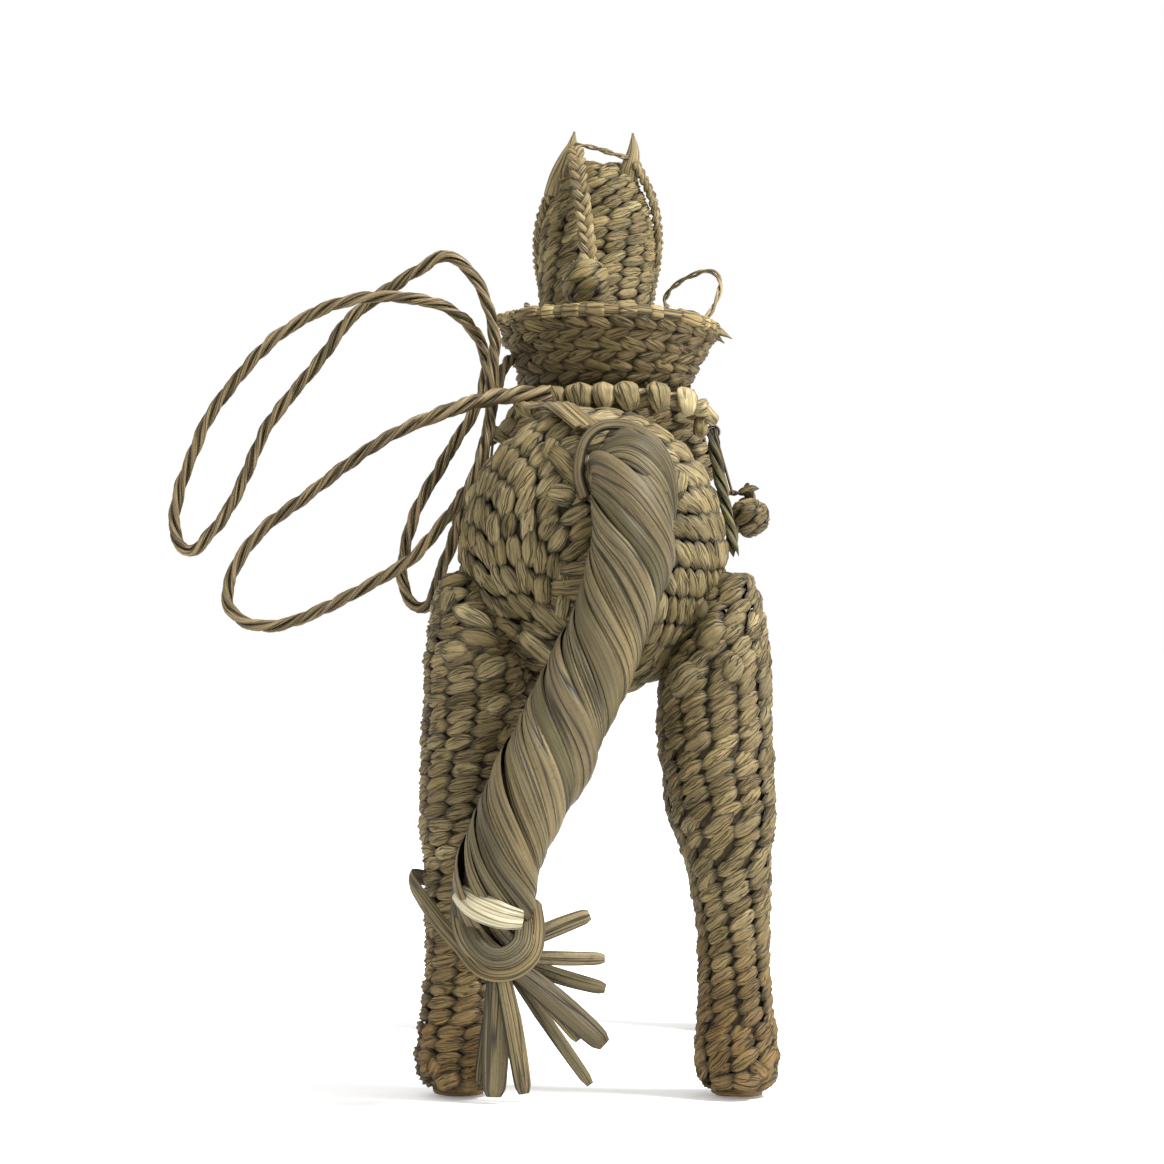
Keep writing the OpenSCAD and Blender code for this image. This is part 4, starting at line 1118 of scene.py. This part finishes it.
# Each loose end: its direction in degrees from level, its length and width in millimetres, and its layer.
fringe_leaves = [(24, 30.7, 5.5, 0), (-2, 32.7, 4.5, 1), (-18, 34.5, 5, 2), (-40, 42.6, 7.8, 0),
                 (-47, 36, 4, 1), (-55, 49, 4.2, 2), (-79.5, 43.2, 6, 0), (-92, 43.8, 8.5, 1),
                 (-99, 40, 3.4, 2)]
fringe_root = from_legs([(-30, -20, 45.5)], hind_y)[0]
work = Leafwork(seed=46)
for turned, long, wide, layer in fringe_leaves:
    a = math.radians(turned)
    way, across = Vector((math.cos(a), 0, math.sin(a))), Vector((-math.sin(a), 0, math.cos(a)))
    bend = work.chance.uniform(-0.9, 0.9) * mm
    line = [fringe_root + Vector((0, (layer - 1) * 2.2 * mm, 0)) + way * t * long * mm
            + across * bend * math.sin(math.pi * t) for t in [0.16 + 0.84 * k / 16 for k in range(17)]]
    work.strip(line, [Vector((0.1, -1, 0.05))] * len(line),
               lambda t, w=wide: w * mm * (0.8 + 0.2 * math.sin(3 * t)) * min(1, 1 - 5 * (t - 0.93)),
               thick=0.8 * mm, curl=0.22)
fringe = work.piece("fringe_leaf_ends", "root", "tail_leaf", tail_leaf)
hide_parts("tail_fringe")

# ---- Crupper ----
# Three flat strands side by side run from the saddle's left side back to the arch at the tail's root.
crupper_route = [(-24, 84, 220), (-21, 66, 218), (-18, 46, 216.7), (-15, 26, 216.2), (-12, 8, 215.6),
                 (-8.5, -4, 212.8), (-3, -11, 208)]
line = smooth_line(from_legs(crupper_route, hind_y), 1.5 * mm)
work = Leafwork(seed=47)
for k, shift in enumerate((-2.7, 0.0, 2.7)):
    work.strip([p + level * shift * mm for p in line], [Vector((-0.2, -0.3, 1))] * len(line), wide=3.2 * mm,
               thick=1.0 * mm, tone=0.3 * k + 0.1, curl=0.3)
crupper = work.piece("crupper_strips", "root", "pale_leaf", pale_leaf)
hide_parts("crupper_strand")

# ---- Saddle skirt, seat and girth ----
# A woven cloth lies over the back with a raised seat on it, and flat strips go round the belly to hold it.

# Handled leaf: greyer and darker than the body, with painted shade where each stitch dives under the next.
saddle_leaf = leaf_finish("woven_saddle_leaf", ["#77684a", "#887957", "#978865", "#7e6f4c", "#a1926f"],
                          folds=4.4, fibres=10.0, ends=0.14, dim=0.64)
# Each cloth: its node, its seed, its first row and its rear edge in millimetres ahead of the hind legs, its
# rows, how far it reaches down each side and the step between stitches, both in degrees.
cloths = [("saddle_skirt", 51, 71, 70, 19, 57, 9.5), ("saddle_seat", 52, 91, 90, 11, 36, 8.5)]
for node, seed, first, rear, rows, spread, turn_step in cloths:
    weave = Weave(seed)
    surface = Surface(node)
    for row in range(rows):
        for i in range(int(2 * spread / turn_step) + 1):
            a = math.radians(-spread + (i + 0.5 * (row % 2)) * turn_step)
            up = Vector((math.sin(a), 0, math.cos(a)))
            start = Vector((body_middle.x, hind_y + (first + row * 4.3) * mm, body_middle.z)) + up * 0.09
            place, normal = surface.facing(start, -up)
            if place is not None and normal.dot(up) > 0.3:
                weave.lay(place - normal * 0.7 * mm, Vector((up.z, 0, -up.x)), normal,
                          slant=12 if row % 2 else -12, length=10 * mm, width=5.6 * mm, height=1.8 * mm)
    layer = weave.cloth(node + "_stitches", stitch_form, "root", saddle_leaf)
    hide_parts(node)
    # The layer under the cloth is coloured as painted shade, dark where it shows between the stitches.
    under_layer(node + "_under", node, -0.6 * mm, "saddle_leaf", node,
                rear=hind_y + rear * mm)

girth_low, girth_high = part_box("girth")
girth_y = (girth_low.y + girth_high.y) / 2
girth_x = (girth_low.x + girth_high.x) / 2
half_w = (girth_high.x - girth_low.x) / 2 - 0.8 * mm
belly_z = body_middle.z
drop = belly_z - girth_low.z - 0.8 * mm
work = Leafwork(seed=53)
for k, shift in enumerate((-3.4, 0.0, 3.4)):
    turns = [math.radians(64 + 232 * i / 60) for i in range(61)]
    line = [Vector((girth_x + half_w * math.sin(a), girth_y + shift * mm, belly_z + drop * math.cos(a)))
            for a in turns]
    work.strip(line, [Vector((math.sin(a), 0, math.cos(a))) for a in turns], wide=3.6 * mm, thick=0.9 * mm,
               tone=0.2 + 0.3 * k, curl=0.2)
girth = work.piece("girth_strips", "root", "pale_leaf", pale_leaf)
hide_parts("girth")

# ---- Cantle ----
# A tall band of leaf twined in chevrons, with a ribbed trim at its foot. Its rim is a bundle of five pale
# strands bound with flat wraps, and two loose tips stand out at its right end.

# Leaf browned by hands: the darkest of the weave, with painted shade where each stitch dives under the next.
cantle_leaf = leaf_finish("cantle_leaf", ["#6d5d3e", "#7d6d4a", "#8f7f5a", "#766643"], folds=3.8, fibres=9.0,
                          ends=0.12, dim=0.68)
# Flat wraps pulled tight: straw, with straight fibres across the rim.
rim_leaf = leaf_finish("rim_wrap_leaf", ["#7f6f4c", "#91815c", "#a4956f", "#b4a683"], folds=5.0, fibres=12.0,
                       run=0.4, dim=0.8)
cantle_low, cantle_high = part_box("cantle")
cantle_x = 2 * mm
cantle_mid_y = hind_y + 123 * mm
foot_r, rim_r, cantle_h = 28 * mm, 38 * mm, cantle_high.z - cantle_low.z


def sag(turned):
    """How far the rim drops towards an end of the band: 2 mm at the left end and 5 mm at the right."""
    return 2 * mm * (turned / 69) ** 2 if turned < 0 else 5 * mm * (turned / 75) ** 2


def on_cantle(turned, t, out):
    """A place on the band, its direction to the right and its outward direction. turned is in degrees from
    the rear, t is the share of the height, and out is how far it stands off the band's middle."""
    a = math.radians(turned)
    radius = foot_r + (rim_r - foot_r) * t + out
    place = Vector((cantle_x + radius * math.sin(a), cantle_mid_y - radius * math.cos(a),
                    cantle_low.z + cantle_h * t - sag(turned) * max(0.0, t - 0.4) / 0.6))
    right = Vector((math.cos(a), math.sin(a), 0))
    return place, right, Vector((math.sin(a), -math.cos(a), -0.4)).normalized()


weave = Weave(seed=54)
for row in range(6):
    t = 0.2 + 0.148 * row
    radius = foot_r + (rim_r - foot_r) * t
    slant = 17 if row % 2 == 0 else -21
    step = math.degrees(7.6 * mm / radius)
    count = int(134 / step)
    for i in range(count + 1):
        turned = -67 + (i + 0.5 * (row % 2)) * step
        if turned < 67.5:
            place, right, out = on_cantle(turned, t, 0.9 * mm)
            weave.lay(place, right, out, slant, length=10.6 * mm, width=5.6 * mm, height=2.0 * mm, loose=3)
            place, right, out = on_cantle(turned, t, -0.9 * mm)
            weave.lay(place, -right, -out, slant, length=10.6 * mm, width=5.4 * mm, height=1.9 * mm)
for i in range(-48, 49):
    place, right, out = on_cantle(i * 1.4, 0.07, 1.3 * mm)
    weave.lay(place, right, out, slant=84, length=3.8 * mm, width=0.95 * mm, height=0.9 * mm, loose=3)
band = weave.cloth("cantle_stitches", drop_form, "root", cantle_leaf, crumple=0.3 * mm)
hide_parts("cantle")
# The layer under the band is coloured as painted shade, dark where it shows between the stitches.
under_layer("cantle_under", "cantle", -0.9 * mm, "saddle_leaf", "cantle")


def rim_line(first, last, out=0.0, up=0.0):
    """The rim's own line between two angles, in steps of 1.2 degrees."""
    turns = [first + i * 1.2 for i in range(int((last - first) / 1.2) + 1)]
    return [on_cantle(turned, 1.0, 0.4 * mm + out)[0] + upward * (2.4 * mm + up) for turned in turns]


work = Leafwork(seed=55)
for k in range(5):
    a = math.tau * k / 5
    work.strand(rim_line(-73, 74, 1.1 * mm * math.cos(a), 1.1 * mm * math.sin(a)), upward, wide=1.15 * mm,
                thick=1.15 * mm, sides=7, taper=2 * mm)
# The first and last angle of each wrap, in degrees from the rear.
wraps = [(-70, -62), (-61, -55), (-54, -50), (-49, -34.5), (-33.5, -24), (-23, -11.5), (-10.5, 0.5),
         (5.5, 16.8), (21.5, 30.3), (38.3, 54.4), (56, 62), (63, 68), (69, 74)]
for first, last in wraps:
    sway = work.chance.uniform(0, 6)
    work.strand(rim_line(first, last), upward,
                wide=lambda run, s=sway: 2.75 * mm * (1 + 0.07 * math.sin(run * 900 + s)),
                thick=lambda run, s=sway: 2.75 * mm * (1 + 0.07 * math.sin(run * 700 + s)), sides=14,
                crease=0.05, taper=0.9 * mm, kind=1, tone=work.chance.uniform(0, 0.75))
tip = rim_line(70, 74)[-1]
for lift, reach in ((0.6, 6.2), (-0.9, 4.6)):
    flare = [tip + Vector((-4 + reach * t, 0.6 * t, lift - 1.4 * t * t)) * mm
             for t in [k / 10 * 1.62 for k in range(11)]]
    work.strand(flare, upward, wide=2.0 * mm, thick=1.2 * mm, taper=6 * mm, kind=1)
rim = work.piece("cantle_rim_wraps", "root", "saddle_leaf", pale_leaf, rim_leaf)
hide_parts("cantle_rim")

# ---- Roll at the cantle's foot ----
# Wrapped drops of folded leaf sit along a cord at the cantle's foot, with an open knot at each corner.
roll_route = [(-31, 106, 215.5), (-24.5, 96.4, 219.6), (-12, 90.8, 221.6), (3.5, 89, 222.2),
              (19, 90.8, 221.8), (31, 97.4, 219.6), (36, 106, 217.4)]
# Broad leaf folded over a cord: pale and rounded, with painted shade along its edges where it tucks under.
bead_leaf = leaf_finish("folded_bead_leaf", ["#94845e", "#a79870", "#b8a984", "#cabd9c"], folds=4.0,
                        fibres=10.0, run=0.6, edge=(0.5, 0.5, 0.3))
work = Leafwork(seed=56)
roll = smooth_line(from_legs(roll_route, hind_y), 1.2 * mm)
work.twist(roll, 5.6 * mm, turn_length=26 * mm, side=upward, taper=2 * mm)
cord = work.piece("roll_cord", "root", "pale_leaf", bead_leaf)
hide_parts("base_roll")
weave = Weave(seed=57)
# Each bead: how far across it sits, and its tone.
for x, tone in ((-22.5, 0.5), (-14.5, 0.2), (-6.3, 0.35), (1.0, 0.6), (8.7, 0.45), (17.8, 0.3), (26.8, 0.95)):
    near = min(roll, key=lambda p: abs(p.x - x * mm))
    out = Vector((near.x - cantle_x, near.y - cantle_mid_y, 0)).normalized()
    weave.lay(near + out * 3.6 * mm, Vector((0.15, 0, -1)), out, slant=0, length=9.8 * mm, width=10.4 * mm,
              height=3.4 * mm, tone=tone, loose=5)
# Each fold of the corner knots: its place in millimetres, its slant in degrees and its tone.
knot_folds = [(33, 104.5, 219, 35, 0.5), (36.5, 104.5, 216.5, -40, 0.8), (34, 104.5, 213.5, 80, 0.3),
              (-31.5, 103.5, 212.5, 40, 0.95), (-34, 103.5, 209.5, -30, 0.5)]
for x, y, z, slant, tone in knot_folds:
    out = Vector((0.35 if x > 0 else -0.35, -1, 0.1)).normalized()
    weave.lay(from_legs([(x, y, z)], hind_y)[0], level, out, slant, length=9.5 * mm, width=6.4 * mm,
              height=3.2 * mm, tone=tone)
beads = weave.cloth("roll_beads", drop_form, "root", bead_leaf)
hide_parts("base_roll", "corner_knots")

# ---- Saddle fork and horn ----
# The swell in front of the seat is woven in level rows, and the horn on it is a short stem with a round woven
# knob.
fork_low, fork_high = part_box("saddle_fork")
fork_y = (fork_low.y + fork_high.y) / 2
weave = Weave(seed=58)
fork_foot, fork_top = Vector((cantle_x, fork_y, fork_low.z + 3 * mm)), Vector((cantle_x, fork_y, 240 * mm))
weave.twine(Surface("saddle_fork"), stations(fork_foot, fork_top, None, fork_top + upward * 10 * mm), forward,
            pitch=4.3 * mm, step=8.6 * mm, slant=8, drift=0.12)
fork = weave.cloth("fork_stitches", stitch_form, "root", saddle_leaf)
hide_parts("saddle_fork")
# The layer under the fork is coloured as painted shade, dark where it shows between the stitches.
under_layer("fork_under", "saddle_fork", -0.8 * mm, "saddle_leaf", "saddle_fork")


def ball_weave(weave, surface, centre, pitch, step, plump):
    """Rows of small stitches round a ball."""
    tip = upward * 0.8 * mm
    places = stations(centre - tip, centre + tip, centre - tip * 8, centre + tip * 8)
    weave.twine(surface, places, forward, pitch, step, slant=16, drift=0.22, plump=plump, sink=0.8 * mm,
                fewest=3, fine=1.2 * mm)


horn_low, horn_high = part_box("saddle_horn")
horn_x, horn_y = (horn_low.x + horn_high.x) / 2, (horn_low.y + horn_high.y) / 2
knob = Vector((horn_x, horn_y, horn_high.z - 7.5 * mm))
weave = Weave(seed=59)
ball_weave(weave, Surface("saddle_horn", reach=0.03), knob, pitch=4.4 * mm, step=8.4 * mm, plump=2.6 * mm)
horn = weave.cloth("horn_stitches", stitch_form, "root", head_leaf, crumple=0.35 * mm)
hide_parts("saddle_horn")
# The horn's inner layer is coloured as painted shade, dark where it shows between the stitches.
under_layer("horn_under", "saddle_horn", -0.6 * mm, "pale_leaf", "saddle_horn")

# ---- Strap bars ----
# A short twisted pair of strands sticks forward from each corner of the saddle, and a stirrup strap hangs on
# it.
bars_low, bars_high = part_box("strap_bars")
bar_r = 1.5 * mm
bar_spots = [Vector((bars_low.x + bar_r, 0, bars_low.z + bar_r)),
             Vector((bars_high.x - bar_r, 0, bars_high.z - bar_r))]
work = Leafwork(seed=61)
for spot in bar_spots:
    line = [Vector((spot.x, bars_low.y + k * 0.8 * mm, spot.z)) for k in range(16)]
    work.twist(line, 2 * bar_r, turn_length=9 * mm, strands=2, side=upward)
bars = work.piece("bar_strands", "root", "saddle_leaf", cantle_leaf)
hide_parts("strap_bars")

# ---- Stirrups ----
# Each strap is a flat leaf strip looped over its bar and pinned at its foot to a round woven stirrup.

# Reddish flat leaf: smooth, with fine straight fibres.
strap_leaf = leaf_finish("strap_strip_leaf", ["#8a6f58", "#9b8069", "#7d664e"], folds=6.0, fibres=20.0,
                         run=0.2)
stirrup_y = hind_y + 118 * mm
pin_z = 190.5 * mm


def heart_radius(run):
    """The radius of the ball of leaf inside a stirrup, coloured as painted shade, at a distance up its
    middle.
    """
    return math.sqrt(max(0.3, 5.6 ** 2 - (run / mm - 5.75) ** 2)) * mm


# Each stirrup: its side, its bar, the strap's foot and the ball's middle across in millimetres, and its seed.
stirrups = [("left", -1, bar_spots[0], -39.6, -44.6, 62), ("right", 1, bar_spots[1], 44.5, 51, 63)]
for name, side, spot, foot_x, ball_x, seed in stirrups:
    strap_body, stirrup_body = name + "_strap", name + "_stirrup"
    work = Leafwork(seed)
    top = Vector((spot.x, stirrup_y, spot.z))
    foot = Vector((foot_x * mm, stirrup_y, pin_z))
    fall = (foot - top).normalized()
    face = Vector((-fall.z, 0, fall.x)) * -side
    line = [top.lerp(foot, t) for t in [0.1 + 0.93 * k / 14 for k in range(15)]]
    for lift, tone in ((-0.45, 0.2), (0.45, 0.8)):
        work.strip([p + face * lift * mm for p in line], [face * (1 if lift > 0 else -1)] * 15, wide=5.4 * mm,
                   thick=0.7 * mm, tone=tone, curl=0.05)
    loop = [math.tau * k / 20 for k in range(20)]
    work.strip([top + Vector((math.cos(a), 0, math.sin(a))) * 2.1 * mm for a in loop],
               [Vector((math.cos(a), 0, math.sin(a))) for a in loop], wide=5.4 * mm, thick=0.8 * mm, tone=0.6,
               closed=True)
    pin = [foot + Vector((side * (k * 0.8 - 0.5) * mm, 0, 0)) for k in range(int(abs(ball_x - foot_x) + 3.4))]
    work.twist(pin, 2.1 * mm, turn_length=6 * mm, strands=2, side=upward)
    strap = work.piece(strap_body + "_strips", strap_body, "tie_leaf", strap_leaf)
    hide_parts(strap_body)

    centre = Vector((ball_x * mm, stirrup_y, pin_z - 8.2 * mm))
    weave = Weave(seed + 4)
    ball_weave(weave, Surface(stirrup_body, reach=0.03), centre, pitch=3.6 * mm, step=6.2 * mm,
               plump=1.5 * mm)
    ball = weave.cloth(stirrup_body + "_stitches", stitch_form, stirrup_body, saddle_leaf,
                       crumple=0.2 * mm)
    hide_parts(stirrup_body)
    work = Leafwork(seed + 6)
    eye_ring = Vector((ball_x * mm, stirrup_y, pin_z))
    work.strip([eye_ring + Vector((0, math.cos(a), math.sin(a))) * 1.75 * mm for a in loop],
               [Vector((0, math.cos(a), math.sin(a))) for a in loop], wide=2.6 * mm, thick=0.8 * mm, tone=0.5,
               closed=True)
    heart = [centre + Vector((0, 0, k * 1.15 * mm)) for k in range(-5, 6)]
    # The heart is coloured as painted shade, dark where it shows between the stirrup's stitches.
    work.strand(heart, forward, wide=heart_radius, thick=heart_radius, sides=16, crease=0.0, kind=1)
    loop_piece = work.piece(stirrup_body + "_loop", stirrup_body, "woven_leaf", saddle_leaf, painted_shade_leaf)
    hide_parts(stirrup_body)

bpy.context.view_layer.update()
for form in [o for o in bpy.data.objects if o.name.endswith("_form")]:
    bpy.data.objects.remove(form)
